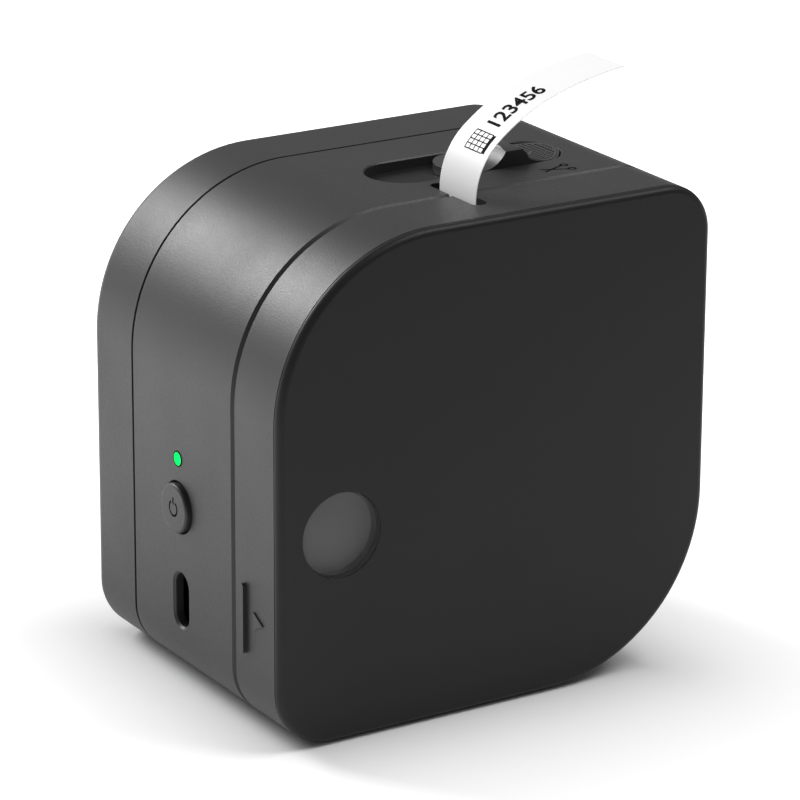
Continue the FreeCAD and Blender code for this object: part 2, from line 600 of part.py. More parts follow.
# ================================================================ cutter
LEVER_BOTTOM = f"({FLOOR} + 0.15)"
STEM_BOX = (("stem_left", "stem_y - stem_wide/2"), ("stem_left + stem_long", "stem_y + stem_wide/2"))
CARRIAGE_SIDE = "(carriage_wide/2)"
BLADE_SCREWS = [("carriage_left + 3", "stem_y"), ("carriage_left + 9", "stem_y")]


def lever_tray():
    """The floor of the lever's slot, with a slit for the stem and two rails under it."""
    body = new_body("lever_tray")
    left, right = "tray_left", "slot_right + tray_margin"
    front, back = f"{FRONT} + slot_front - tray_margin", f"{FRONT} + slot_back + tray_margin"
    prism(body, "Pad", "z", TRAY_UNDER, FLOOR, rectangle(left, front, right, back))
    for near, far in ((f"stem_y - {CARRIAGE_SIDE} - 1", f"stem_y - {CARRIAGE_SIDE} - 0.1"),
                      (f"stem_y + {CARRIAGE_SIDE} + 0.1", f"stem_y + {CARRIAGE_SIDE} + 1")):
        prism(body, "Pad", "z", f"{CARRIAGE_Z} + 0.25", TRAY_UNDER, rectangle(left, near, right, far))
    prism(body, "Pad", "z", f"{CARRIAGE_Z} - 0.2", TRAY_UNDER,
          rectangle(left, "stem_y - 2", f"{left} + 1.5", "stem_y + 2"))
    slit = ("stem_left - lever_travel - stem_play", f"stem_y - stem_wide/2 - stem_play",
            "stem_left + stem_long + stem_play", "stem_y + stem_wide/2 + stem_play")
    prism(body, "Pocket", "z", TRAY_UNDER, FLOOR, rectangle(*slit))
    return body


def cutter_lever():
    """The thumb slider: a low plate, a crest that the thumb pushes, and a hollow behind it."""
    left, right = val("lever_left"), val("slot_right - lever_play")
    low, top = val(LEVER_BOTTOM), val(TOP)
    middle, half = val(SLOT_Y), val(SLOT_RADIUS) - val("lever_play")
    crest, high = val("crest_x"), top + val("crest_high")
    hollow = val("scoop_start")
    heel = val("lever_heel")
    side = [
        Part.LineSegment(V(left, 0, low), V(left, 0, top - 0.15)),
        Part.LineSegment(V(left, 0, top - 0.15), V(left + heel, 0, top - 0.15)),
        Part.Arc(V(left + heel, 0, top - 0.15), V(crest - 2.6, 0, top + 0.25 * val("crest_high")),
                 V(crest - 0.7, 0, high - 0.5)),
        Part.Arc(V(crest - 0.7, 0, high - 0.5), V(crest - 0.2, 0, high - 0.08), V(crest + 0.5, 0, high)),
        Part.Arc(V(crest + 0.5, 0, high), V(crest + 2.9, 0, high - 0.75), V(hollow, 0, top + 0.9)),
        Part.Arc(V(hollow, 0, top + 0.9), V((hollow + right) / 2, 0, top - val("scoop_sunk")),
                 V(right, 0, top + val("scoop_end"))),
        Part.LineSegment(V(right, 0, top + val("scoop_end")), V(right, 0, low)),
        Part.LineSegment(V(right, 0, low), V(left, 0, low)),
    ]
    profile = Part.Face(Part.Wire([edge.toShape() for edge in side]))
    profile.translate(V(0, middle - half, 0))
    body = profile.extrude(V(0, 2 * half, 0))
    plan = Part.makeBox(right - left - 2 * half, 2 * half, 12, V(left + half, middle - half, low))
    for x in (left + half, right - half):
        plan = plan.fuse(Part.makeCylinder(half, 12, V(x, middle, low)))
    shoulder = top + val("crest_shoulder")
    arch = [
        Part.LineSegment(V(0, middle - half, low - 1), V(0, middle - half, shoulder)),
        Part.Arc(V(0, middle - half, shoulder), V(0, middle, high + 0.02), V(0, middle + half, shoulder)),
        Part.LineSegment(V(0, middle + half, shoulder), V(0, middle + half, low - 1)),
        Part.LineSegment(V(0, middle + half, low - 1), V(0, middle - half, low - 1)),
    ]
    arch = Part.Face(Part.Wire([edge.toShape() for edge in arch]))
    arch.translate(V(left - 1, 0, 0))
    body = body.common(plan.removeSplitter()).common(arch.extrude(V(right - left + 2, 0, 0)))
    (x0, y0), (x1, y1) = [(val(x), val(y)) for x, y in STEM_BOX]
    stem = Part.makeBox(x1 - x0, y1 - y0, low - val(CARRIAGE_Z) - val("carriage_high"),
                        V(x0, y0, val(CARRIAGE_Z) + val("carriage_high")))
    return shaped("cutter_lever", body.fuse(stem).removeSplitter())


def cutter_blade():
    """Flat steel blade with a skewed edge, screwed under the carriage."""
    edge_x = "(tape_x + tape_thick/2 + blade_edge)"
    body = new_body("cutter_blade")
    prism(body, "Pad", "z", BLADE_Z, CARRIAGE_Z, polygon([
        (edge_x, f"{TAPE_Y} + tape_width/2 + 0.6"),
        (f"{edge_x} + blade_skew", f"{TAPE_Y} - tape_width/2 - 0.6"),
        (f"{edge_x} + blade_deep", f"{TAPE_Y} - tape_width/2 - 0.6"),
        (f"{edge_x} + blade_deep", f"stem_y + {CARRIAGE_SIDE} - 0.5"),
        (edge_x, f"stem_y + {CARRIAGE_SIDE} - 0.5")]))
    prism(body, "Pocket", "z", BLADE_Z, CARRIAGE_Z,
          *[circle(x, y, "blade_screw + 0.05") for x, y in BLADE_SCREWS])
    return body


def cutter_carriage():
    """The slide that joins the lever's stem to the blade."""
    body = new_body("cutter_carriage")
    prism(body, "Pad", "z", CARRIAGE_Z, f"{CARRIAGE_Z} + carriage_high",
          rectangle("carriage_left", f"stem_y - {CARRIAGE_SIDE}", "carriage_left + carriage_long",
                    f"stem_y + {CARRIAGE_SIDE}"))
    prism(body, "Pocket", "z", CARRIAGE_Z, f"{CARRIAGE_Z} + carriage_high",
          *[circle(x, y, "blade_screw - 0.1") for x, y in BLADE_SCREWS])
    return body


def coil(radius, wire, length, turns, steps=12):
    """A coil of round wire along Z, from 0 to length, bent in short straight steps."""
    pitch = (length - wire) / turns
    spots = []
    for number in range(int(turns * steps) + 1):
        angle = 2 * math.pi * number / steps
        height = wire / 2 + pitch * number / steps
        spots.append(V(radius * math.cos(angle), radius * math.sin(angle), height))
    ring = Part.Wire([Part.makeCircle(wire / 2, spots[0], spots[1] - spots[0])])
    mitred = 1
    return Part.makePolygon(spots).makePipeShell([ring], True, False, mitred)


def laid_along_x(shape, x, y, z):
    shape = shape.copy()
    shape.rotate(V(), V(0, 1, 0), 90)
    shape.translate(V(x, y, z))
    return shape


def cutter_parts():
    """Blade screws, the fixed blade under the moving one, and the return spring."""
    bolts = screws("blade_screws", "z", BLADE_SCREWS, BLADE_Z, f"{CARRIAGE_Z} + 1.2",
                   "blade_screw - 0.15", "blade_screw + 0.6", "0.45")
    anvil = box("blade_anvil", ("anvil_left", f"{TAPE_Y} - tape_width/2 - 0.6", ANVIL_Z),
                ("tape_x - tape_thick/2 - 0.05", f"{TAPE_Y} + tape_width/2 + 0.6",
                 f"{ANVIL_Z} + anvil_thick"))
    start = val("tray_left") + 1.5
    spring = coil(val("spring_radius"), val("spring_wire"), val("carriage_left") - start - 0.3,
                  val("spring_turns"))
    spring = laid_along_x(spring, start + 0.15, val("stem_y"), val(CARRIAGE_Z) + val("carriage_high") / 2)
    return [bolts, anvil, shaped("return_spring", spring)]


# ================================================================ frame, roller and print head
HEAD_X = "(tape_x - tape_thick/2 - roller_gap - head_thick)"
SINK_X = f"({HEAD_X} - sink_thick)"
WALL_X = f"({SINK_X} - head_spring)"
WORKS_HALF = "(tape_width/2 + 0.5)"
IDLER_REACH = "(module*(small_teeth + roller_teeth)/2 + mesh_play)"
MOTOR_REACH = "(module*(pinion_teeth + wheel_teeth)/2 + mesh_play)"
IDLER = (f"({ROLLER_X} + {IDLER_REACH}*cos(idler_angle*1 deg))",
         f"(roller_z + {IDLER_REACH}*sin(idler_angle*1 deg))")
MOTOR = (f"({IDLER[0]} + {MOTOR_REACH}*cos(motor_angle*1 deg))",
         f"({IDLER[1]} + {MOTOR_REACH}*sin(motor_angle*1 deg))")
BUSH_OUT = "(shaft_radius + running_play + bush_wall)"
ARM_FRONT = f"({TAPE_Y} - {WORKS_HALF} - 0.4 - arm_thick)"
ARM_RIGHT = f"({ROLLER_X} + roller_radius + 3.2)"
ARM_SCREWS = [(f"{ARM_RIGHT} + arm_foot - 3", f"roller_z {side} 3") for side in "-+"]


def around(centre, reach, angles):
    """Places on a circle, as expressions."""
    return [(f"({centre[0]} + ({reach})*cos({a} deg))", f"({centre[1]} + ({reach})*sin({a} deg))")
            for a in angles]


BRACKET_POSTS = around(MOTOR, "motor_radius + 2.8", (-100, -20, 60))
MOTOR_SCREWS = around(MOTOR, "motor_radius*0.7", (40, 220))
BOARD_POSTS = [(f"board_{side} {inward} 4", f"board_{end} {up} 4") for side, inward in
               (("left", "+"), ("right", "-")) for end, up in (("low", "+"), ("high", "-"))]


def frame_plate():
    """The moulded frame: a plate behind the cassette with posts, the head's wall and an arm."""
    body = new_body("frame_plate")
    prism(body, "Pad", "y", PLATE_FRONT, PLATE_BACK, outline(f"{LIP_IN} + plate_play"))
    prism(body, "Pocket", "y", PLATE_FRONT, PLATE_BACK,
          rectangle("tray_left - 3", ANVIL_Z, "body_width/2 + 1", f"{TOP} + 1"))
    prism(body, "Pad", "y", f"{TAPE_Y} - {WORKS_HALF}", PLATE_BACK,
          rectangle(f"{WALL_X} - 2", "roller_z - head_high/2 - 1", WALL_X, "roller_z + head_high/2 + 1"),
          rectangle("anvil_left", f"{ANVIL_Z} - 2", "tape_x - 1", ANVIL_Z))
    prism(body, "Pad", "y", PLATE_BACK, BOARD_Y, *[circle(x, z, "board_post") for x, z in BOARD_POSTS])
    prism(body, "Pad", "y", PLATE_BACK, BRACKET_Y, *[circle(x, z, "bracket_post") for x, z in BRACKET_POSTS])
    holes = [circle(x, z, "pilot") for x, z in BOARD_POSTS]
    prism(body, "Pocket", "y", f"{BOARD_Y} - 6", BOARD_Y, *holes)
    prism(body, "Pocket", "y", f"{BRACKET_Y} - 4", BRACKET_Y,
          *[circle(x, z, "pilot") for x, z in BRACKET_POSTS])
    prism(body, "Pocket", "y", PLATE_FRONT, PLATE_BACK, circle(ROLLER_X, "roller_z", BUSH_OUT),
          *[circle(x, z, "plate_screw + 0.1") for x, z in PLATE_SCREWS],
          *[circle(x, z, "pilot") for x, z in ARM_SCREWS], circle(*IDLER, "idler_pin_radius"))
    return body


def roller_bracket():
    """Bent steel arm that carries the roller's front end, screwed to the frame."""
    low, high = "roller_z - head_high/2", "roller_z + head_high/2"
    front = box("arm_front", ("tape_x + 1.2", ARM_FRONT, low), (ARM_RIGHT, f"{ARM_FRONT} + arm_thick", high))
    side = box("arm_side", (f"{ARM_RIGHT} - arm_thick", ARM_FRONT, low), (ARM_RIGHT, PLATE_FRONT, high))
    foot = box("arm_foot", (f"{ARM_RIGHT} - arm_thick", f"{PLATE_FRONT} - arm_thick", low),
               (f"{ARM_RIGHT} + arm_foot", PLATE_FRONT, high))
    bush = rod("arm_bush_hole", "y", BUSH_OUT, f"{ARM_FRONT} - 1", f"{ARM_FRONT} + arm_thick + 1",
               ROLLER_X, "roller_z")
    holes = [rod(f"arm_hole_{n}", "y", "clearance", f"{PLATE_FRONT} - 3", f"{PLATE_FRONT} + 1", x, z)
             for n, (x, z) in enumerate(ARM_SCREWS)]
    return cut("roller_bracket", fuse("arm_plates", [front, side, foot]), [bush] + holes)


def ring(label, axis_place, start, end, outer, inner):
    """A round sleeve along Y."""
    x, z = axis_place
    body = rod(label + "_outside", "y", outer, start, end, x, z)
    bore = rod(label + "_bore", "y", inner, f"{start} - 1", f"{end} + 1", x, z)
    return cut(label, body, [bore])


def frame_parts():
    """Roller, bushes, print head and the screws that hold them."""
    roller = (ROLLER_X, "roller_z")
    half = "(tape_width/2 + 0.3)"
    shaft = rod("roller_shaft", "y", "shaft_radius", f"{ARM_FRONT} - 0.4", f"{LAYER_ONE} + gear_wide + 0.5",
                *roller)
    rubber = ring("platen_roller", roller, f"{TAPE_Y} - {half}", f"{TAPE_Y} + {half}", "roller_radius",
                  "shaft_radius")
    bore = "shaft_radius + running_play"
    bushes = compound("roller_bushes", [
        ring("rear_bush", roller, PLATE_FRONT, f"{PLATE_BACK} + 0.2", BUSH_OUT, bore),
        ring("front_bush", roller, ARM_FRONT, f"{ARM_FRONT} + arm_thick + 0.15", BUSH_OUT, bore)])
    low, high = "roller_z - head_high/2", "roller_z + head_high/2"
    head = box("print_head", (HEAD_X, f"{TAPE_Y} - {half}", low), (f"{HEAD_X} + head_thick",
                                                                  f"{TAPE_Y} + {half}", high))
    sink = box("head_sink", (SINK_X, f"{TAPE_Y} - {half}", low), (HEAD_X, PLATE_FRONT, high))
    coils = []
    for y in (f"{TAPE_Y} - tape_width/4", f"{TAPE_Y} + tape_width/4"):
        spring = coil(val("head_coil"), val("head_wire"), val("head_spring"), val("head_turns"))
        coils.append(laid_along_x(spring, val(WALL_X), val(y), val("roller_z")))
    plate = screws("plate_screws", "y", PLATE_SCREWS, PLATE_FRONT, f"{PLATE_BACK} + flange_thick - 0.2",
                   "plate_screw - 0.12", "plate_screw + 0.8", "0.45")
    arm = screws("arm_screws", "y", ARM_SCREWS, f"{PLATE_FRONT} - arm_thick", PLATE_BACK, "small_shank",
                 "1.4", "0.6")
    return [shaft, rubber, bushes, head, sink, shaped("head_springs", Part.makeCompound(coils)), plate, arm]


# ================================================================ motor and gears
def gear_shape(teeth, bore, start, length, toward):
    """A spur gear along Y with one tooth on the direction given in degrees.

    The flanks are involutes of the base circle; the tooth is half the pitch wide at the
    pitch circle, less a little play.
    """
    module = val("module")
    pitch_r = module * teeth / 2
    base_r, tip_r, root_r = pitch_r * math.cos(math.radians(20)), pitch_r + module, pitch_r - 1.25 * module

    def involute(radius):
        ratio = max(radius / base_r, 1.0)
        reach = math.sqrt(ratio ** 2 - 1)
        return reach - math.atan(reach)

    half_tooth = math.pi / (2 * teeth) - 0.012 / module / teeth * 2
    flank = [max(base_r, root_r) + (tip_r - max(base_r, root_r)) * i / 5 for i in range(6)]
    points = []
    for number in range(teeth):
        middle = math.radians(toward) + 2 * math.pi * number / teeth
        spread = [(root_r, half_tooth + involute(pitch_r))]
        spread += [(r, half_tooth + involute(pitch_r) - involute(r)) for r in flank]
        points += [(r, middle - a) for r, a in spread] + [(r, middle + a) for r, a in reversed(spread)]
    corners = [V(r * math.cos(a), start, r * math.sin(a)) for r, a in points]
    face = Part.Face(Part.makePolygon(corners + corners[:1]))
    gear = face.extrude(V(0, length, 0))
    hole = Part.makeCylinder(bore, length + 2, V(0, start - 1, 0), V(0, 1, 0))
    return gear.cut(hole)


def placed(shape, centre):
    shape.translate(V(val(centre[0]), 0, val(centre[1])))
    return shape


def gears():
    """Motor pinion, the double idler and the roller's wheel, each tooth facing a gap."""
    one, two, wide = val(LAYER_ONE), val(LAYER_TWO), val("gear_wide")
    teeth = {name: int(val(name)) for name in ("pinion_teeth", "wheel_teeth", "small_teeth", "roller_teeth")}
    up, down = val("idler_angle") + 180, val("motor_angle")
    roller = gear_shape(teeth["roller_teeth"], val("shaft_radius"), one, wide,
                        val("idler_angle") + 180 / teeth["roller_teeth"])
    bore = val("idler_pin_radius") + val("running_play")
    small = gear_shape(teeth["small_teeth"], bore, one, wide + val("gear_gap"), up)
    wheel = gear_shape(teeth["wheel_teeth"], bore, two, wide, down)
    pinion = gear_shape(teeth["pinion_teeth"], val("motor_shaft_radius"), two, wide,
                        down + 180 + 180 / teeth["pinion_teeth"])
    return [shaped("roller_gear", placed(roller, (ROLLER_X, "roller_z"))),
            shaped("idler_gear", placed(small.fuse(wheel).removeSplitter(), IDLER)),
            shaped("motor_pinion", placed(pinion, MOTOR))]


def motor_parts():
    """The motor on its bracket, and the idler's pin and clip."""
    end = f"({LAYER_TWO} + gear_wide)"
    pin_rod = rod("idler_pin_rod", "y", "idler_pin_radius", PLATE_FRONT, f"{end} + 0.5", *IDLER)
    groove = ring("idler_groove", IDLER, f"{end} + 0.1", f"{end} + 0.4", "idler_pin_radius + 1",
                  "idler_pin_radius - 0.25")
    idler_pin = cut("idler_pin", pin_rod, [groove])
    clip = ring("idler_clip", IDLER, f"{end} + 0.12", f"{end} + 0.38", "idler_pin_radius + 1",
                "idler_pin_radius - 0.24")
    can = rod("motor_can", "y", "motor_radius", MOTOR_Y, f"{MOTOR_Y} + motor_long", *MOTOR)
    bore = rod("motor_bore", "y", "motor_shaft_radius + running_play", f"{MOTOR_Y} - 1",
               f"{MOTOR_Y} + motor_long*0.6", *MOTOR)
    taps = [rod(f"motor_tap_{n}", "y", "pilot", f"{MOTOR_Y} - 1", f"{MOTOR_Y} + 2", x, z)
            for n, (x, z) in enumerate(MOTOR_SCREWS)]
    motor = cut("drive_motor", can, [bore] + taps)
    shaft = rod("motor_shaft", "y", "motor_shaft_radius", f"{LAYER_TWO} - 0.1",
                f"{MOTOR_Y} + motor_long*0.6 - 0.3", *MOTOR)
    bolts = screws("motor_screws", "y", MOTOR_SCREWS, BRACKET_Y, f"{MOTOR_Y} + 1.8", "small_shank",
                   "1.2", "0.5")
    return [idler_pin, clip, motor, shaft, bolts]


def motor_bracket():
    """Steel plate on three posts that carries the motor."""
    body = new_body("motor_bracket")
    prism(body, "Pad", "y", BRACKET_Y, MOTOR_Y, circle(*MOTOR, "motor_radius + 5"))
    prism(body, "Pocket", "y", BRACKET_Y, MOTOR_Y, circle(*MOTOR, "module*(pinion_teeth + 2)/2 + 0.6"),
          *[circle(x, z, "clearance") for x, z in BRACKET_POSTS + MOTOR_SCREWS])
    return body


def bracket_screws():
    return screws("bracket_screws", "y", BRACKET_POSTS, f"{BRACKET_Y} - 3.5", MOTOR_Y, "small_shank",
                  "1.3", "0.6", "end")


# ================================================================ cassette and tape
CASE = ("case_left", "case_low", "case_right", "case_high")
SPOOL = (SPOOL_X, "spool_z")
PAD_FRONT = f"({FRONT} + lens_thick + pad_gap)"


def case_outline(inset):
    a, b, c, d = CASE
    return rounded(f"{a} + {inset}", f"{b} + {inset}", f"{c} - {inset}", f"{d} - {inset}",
                   [f"case_corner - {inset}"] * 4)


def cassette_case():
    """The tray of the tape cassette: walls, a hub for the spool and ribs that guide the tape."""
    body = new_body("cassette_case")
    prism(body, "Pad", "y", CASE_BACK, f"{CASE_BACK} + case_wall", case_outline("0"))
    prism(body, "Pad", "y", CASE_FRONT, CASE_BACK, case_outline("0"), case_outline("case_wall"))
    prism(body, "Pad", "y", CASE_FRONT, CASE_BACK, circle(*SPOOL, "hub_radius"),
          circle(*SPOOL, "hub_radius - 1.4"))
    rib_low = "(case_high - case_wall - guide_high)"
    prism(body, "Pad", "y", CASE_FRONT, CASE_BACK,
          rectangle("tape_x + guide_gap", rib_low, "tape_x + guide_gap + 1", "case_high - case_wall/2"),
          rectangle("tape_x - guide_gap - 1", rib_low, "tape_x - guide_gap", "case_high - case_wall/2"))
    prism(body, "Pocket", "y", CASE_FRONT, CASE_BACK,
          rectangle("tape_x - guide_gap", rib_low, "tape_x + guide_gap", "case_high + 1"))
    return body


def cassette_lid():
    """The cassette's front, with a round pad that stands behind the window and a grip rib."""
    body = new_body("cassette_lid")
    prism(body, "Pad", "y", f"{CASE_FRONT} - case_wall", CASE_FRONT, case_outline("0"))
    prism(body, "Pad", "y", PAD_FRONT, f"{CASE_FRONT} - case_wall",
          circle("window_x", "window_z", "pad_radius"))
    prism(body, "Pad", "y", PAD_FRONT, f"{CASE_FRONT} - case_wall",
          stadium("case_right - 9", "spool_z - 11", "case_right - 6", "spool_z + 11", "y"))
    return body


def tape_path(steps, offset):
    """Edges of the tape's side, offset from its middle: straight runs and tangent bends.

    Each step is a length to go straight, or a radius and the heading that its bend ends on.
    """
    x, z, heading = val("tape_x"), 0.0, math.radians(90)
    edges = []
    for step in steps:
        ahead, across = (math.cos(heading), math.sin(heading)), (-math.sin(heading), math.cos(heading))
        start = V(x + offset * across[0], 0, z + offset * across[1])
        if len(step) == 1:
            x, z = x + step[0] * ahead[0], z + step[0] * ahead[1]
            edges.append(Part.LineSegment(start, V(x + offset * across[0], 0, z + offset * across[1])))
            continue
        radius, final = step[0], math.radians(step[1])
        cx, cz = x - radius * across[0], z - radius * across[1]
        spots = []
        for part in (0.5, 1.0):
            a = heading + (final - heading) * part
            spots.append(V(cx - (radius + offset) * math.sin(a), 0, cz + (radius + offset) * math.cos(a)))
        edges.append(Part.Arc(start, spots[0], spots[1]))
        heading = final
        x, z = cx - radius * math.sin(final), cz + radius * math.cos(final)
    return edges


def tape_piece(label, steps, low):
    """A flat strip of tape that follows the steps from a starting height."""
    half, thick = val("tape_width") / 2, val("tape_thick") / 2
    left, right = tape_path(steps, thick), tape_path(steps, -thick)
    ends = [Part.LineSegment(left[-1].EndPoint, right[-1].EndPoint),
            Part.LineSegment(left[0].StartPoint, right[0].StartPoint)]
    wire = Part.Wire(Part.__sortEdges__([edge.toShape() for edge in left + right + ends]))
    strip = Part.Face(wire).extrude(V(0, 2 * half, 0))
    strip.translate(V(0, val(TAPE_Y) - half, low))
    return shaped(label, strip)


def tape_parts():
    """Spool, roll, the strip that feeds up to the cutter and the label that stands above it."""
    spool_tube = ring("spool_tube", SPOOL, f"{TAPE_Y} - {SPOOL_HALF}", f"{TAPE_Y} + {SPOOL_HALF}",
                      "core_radius", "hub_radius + running_play")
    flanges = []
    for name, start in (("front", f"{TAPE_Y} - {SPOOL_HALF}"), ("back", f"{TAPE_Y} + tape_width/2 + 0.15")):
        flanges.append(ring(f"spool_{name}", SPOOL, start, f"{start} + spool_flange", "flange_radius",
                            "hub_radius + running_play"))
    spool = fuse("tape_spool", [spool_tube] + flanges)
    roll = ring("tape_roll", SPOOL, f"{TAPE_Y} - tape_width/2", f"{TAPE_Y} + tape_width/2", "roll_radius",
                "core_radius")
    slit_low, slit_high = val(ANVIL_Z) - 0.3, val(CARRIAGE_Z) + 0.3
    strip = tape_piece("label_strip", [(slit_low - val("spool_z"),)], val("spool_z"))
    label = tape_piece("printed_label", [(val("curl_start") - slit_high,), (val("curl_one"), 40),
                                         (val("curl_two"), 18), (val("curl_three"), 7)], slit_high)
    sticker = rod("cassette_sticker", "y", "pad_radius - 0.3", f"{PAD_FRONT} - 0.1", PAD_FRONT,
                  "window_x", "window_z")
    return [spool, roll, strip, label, sticker]


# ================================================================ electronics and power
def main_board():
    body = new_body("main_board")
    prism(body, "Pad", "y", BOARD_Y, f"{BOARD_Y} + board_thick",
          rounded("board_left", "board_low", "board_right", "board_high", ["1.5"] * 4))
    prism(body, "Pocket", "y", BOARD_Y, f"{BOARD_Y} + board_thick",
          *[circle(x, z, "board_hole") for x, z in BOARD_POSTS])
    return body


def electronics():
    """Parts on the main board, its screws, and the rechargeable cell behind it."""
    rear = f"({BOARD_Y} + board_thick)"
    bolts = screws("board_screws", "y", BOARD_POSTS, f"{BOARD_Y} - 5", rear, "small_shank",
                   "1.5", "0.6", "end")
    places = [(8, 36, 7, 7, 0.9), (22, 44, 9, 9, 1.1), (38, 50, 5, 6, 0.9), (44, 40, 4, 4, 0.8)]
    chips = [box(f"chip_{n}", (f"board_left + {x}", rear, f"board_low + {z}"),
                 (f"board_left + {x + wide}", f"{rear} + {thick}", f"board_low + {z + high}"))
             for n, (x, z, wide, high, thick) in enumerate(places)]
    radio = box("wireless_module", ("board_left + 3", rear, "board_low + 8"),
                ("board_left + 15", f"{rear} + 1.8", "board_low + 18"))
    plug = box("battery_plug", ("board_right - 19", rear, "board_low + 2"),
               ("board_right - 14", f"{rear} + 3", "board_low + 8"))
    blank = box("cell_blank", ("cell_left", CELL_Y, "cell_low"),
                ("cell_left + cell_wide", f"{CELL_Y} + cell_thick", "cell_low + cell_high"))
    doc.recompute()
    cell = doc.addObject("Part::Fillet", "battery_cell")
    cell.Base = blank
    upright = [i for i, e in enumerate(blank.Shape.Edges, 1) if runs_along(e, "z")]
    cell.Edges = [(i, val("cell_round"), val("cell_round")) for i in upright]
    pad = box("battery_pad", ("cell_left + 5", f"{CELL_Y} + cell_thick", "cell_low + 4"),
              ("cell_left + cell_wide - 5", f"{BACK} - wall", "cell_low + cell_high - 4"))
    return [bolts, compound("board_chips", chips), radio, plug, cell, pad]


# ================================================================ the whole label maker
pieces = [front_fascia(), window_lens(), lens_ring(), front_cover(), middle_shell(), rear_cover()]
pieces += case_hardware()
pieces += [power_button(), *controls(), usb_shell(), usb_tongue()]
pieces += [lever_tray(), cutter_lever(), cutter_blade(), cutter_carriage(), *cutter_parts()]
pieces += [frame_plate(), roller_bracket(), *frame_parts()]
pieces += [*gears(), *motor_parts(), motor_bracket(), bracket_screws()]
pieces += [cassette_case(), cassette_lid(), *tape_parts()]
pieces += [main_board(), *electronics()]
doc.recompute()

for thing in doc.Objects:
    if {"Invalid", "Error"} & set(thing.State):
        raise RuntimeError(f"{thing.Label} failed: {thing.State}")
for piece in pieces:
    if piece.Shape.isNull() or not piece.Shape.isValid() or not piece.Shape.Solids:
        raise RuntimeError(f"{piece.Label} has no valid solid")

os.makedirs("parts", exist_ok=True)
for piece in pieces:
    piece.Shape.exportStep(f"parts/{piece.Label}.step")
print(len(pieces), "pieces written")
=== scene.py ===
"""Desk-top label maker, dressed and lit for a studio view.

The file follows the machine as it is put together: the stand and its light first, then the
case from back to front, the controls, the cutter, the tape, and last the works inside.
Lengths are in metres in the frame of the design: X to the right of the front face, Y from
front to back, Z up from the table.
"""
import math

import bmesh
import bpy
import numpy as np
from mathutils import Matrix, Vector


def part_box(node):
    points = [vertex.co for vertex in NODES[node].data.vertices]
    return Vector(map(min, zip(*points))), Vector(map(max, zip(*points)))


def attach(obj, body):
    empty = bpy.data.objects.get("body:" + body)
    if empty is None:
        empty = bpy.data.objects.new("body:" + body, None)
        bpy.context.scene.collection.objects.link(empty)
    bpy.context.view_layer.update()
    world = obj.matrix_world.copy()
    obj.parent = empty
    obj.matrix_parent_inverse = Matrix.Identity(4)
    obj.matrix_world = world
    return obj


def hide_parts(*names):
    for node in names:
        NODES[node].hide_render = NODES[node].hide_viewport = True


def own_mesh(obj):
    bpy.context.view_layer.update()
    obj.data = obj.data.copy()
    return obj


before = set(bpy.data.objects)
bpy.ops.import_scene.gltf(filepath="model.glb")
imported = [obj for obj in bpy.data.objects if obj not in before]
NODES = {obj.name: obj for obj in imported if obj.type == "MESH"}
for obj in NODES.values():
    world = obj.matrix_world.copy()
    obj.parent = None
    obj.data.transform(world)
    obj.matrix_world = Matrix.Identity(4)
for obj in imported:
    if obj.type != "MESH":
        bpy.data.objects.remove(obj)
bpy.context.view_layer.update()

# ---- Camera
# A long lens on a plain stand in front of the machine and to its left, looking a little
# down on it.  The stand turns by a heading and a dip, and the head rolls very slightly.
azimuth, elevation, roll = (math.radians(a) for a in (31.972, 19.088, 0.320))
aim = Vector((-0.02102, -0.03475, 0.06339))
reach = 0.7490
ahead = Vector((math.sin(azimuth) * math.cos(elevation),
                math.cos(azimuth) * math.cos(elevation),
                -math.sin(elevation)))
level = Vector((math.cos(azimuth), -math.sin(azimuth), 0))
upright = level.cross(ahead)
rightward = math.cos(roll) * level + math.sin(roll) * upright
upward = math.cos(roll) * upright - math.sin(roll) * level
eye = bpy.data.cameras.new("studio_camera")
eye.lens, eye.sensor_width, eye.sensor_fit = 190.37, 36.0, "HORIZONTAL"
eye.clip_start, eye.clip_end = 0.05, 50.0
stand = bpy.data.objects.new("studio_camera", eye)
turn = Matrix((rightward, upward, -ahead)).transposed().to_4x4()
stand.matrix_world = Matrix.Translation(aim - reach * ahead) @ turn
bpy.context.scene.collection.objects.link(stand)
bpy.context.scene.camera = stand
bpy.context.scene.view_settings.view_transform = "Standard"


# ---- Floor and lights
# A white paper floor in a pale tent that is brightest high behind.  The paper's glow is
# painted light: it fades to nothing at the machine's footprint as a painted contact shadow,
# and towards the front as painted shade.  Of two cloth-fronted lamps one stands behind on
# the left and the weaker one hangs above.
def given(tree, socket, amount):
    """Give a socket its amount: linked where that is another node's outlet, or else set."""
    if isinstance(amount, bpy.types.NodeSocket):
        tree.links.new(amount, socket)
    else:
        socket.default_value = amount


def worked_out(tree, value, *steps):
    """Pass a value through maths nodes, one after another, and return the last outlet.

    Each step is an operation and the amounts that it takes after the value itself.
    """
    for operation, *amounts in steps:
        spatial = value.type == "VECTOR"
        step = tree.nodes.new("ShaderNodeVectorMath" if spatial else "ShaderNodeMath")
        step.operation = operation
        for place_in_row, amount in enumerate((value, *amounts)):
            given(tree, step.inputs[place_in_row], amount)
        single = not spatial or operation in ("LENGTH", "DISTANCE", "DOT_PRODUCT")
        value = step.outputs["Value" if single else "Vector"]
    return value


def ramped(tree, value, start, end, low=0.0, high=1.0):
    """Carry a value evenly from one range into another, held at both ends."""
    ramp = tree.nodes.new("ShaderNodeMapRange")
    ends = {"Value": value, "From Min": start, "From Max": end, "To Min": low, "To Max": high}
    for name, amount in ends.items():
        given(tree, ramp.inputs[name], amount)
    return ramp.outputs["Result"]


def placed(name, mesh):
    """Put a mesh into the scene as an object at the origin."""
    thing = bpy.data.objects.new(name, mesh)
    bpy.context.scene.collection.objects.link(thing)
    return thing


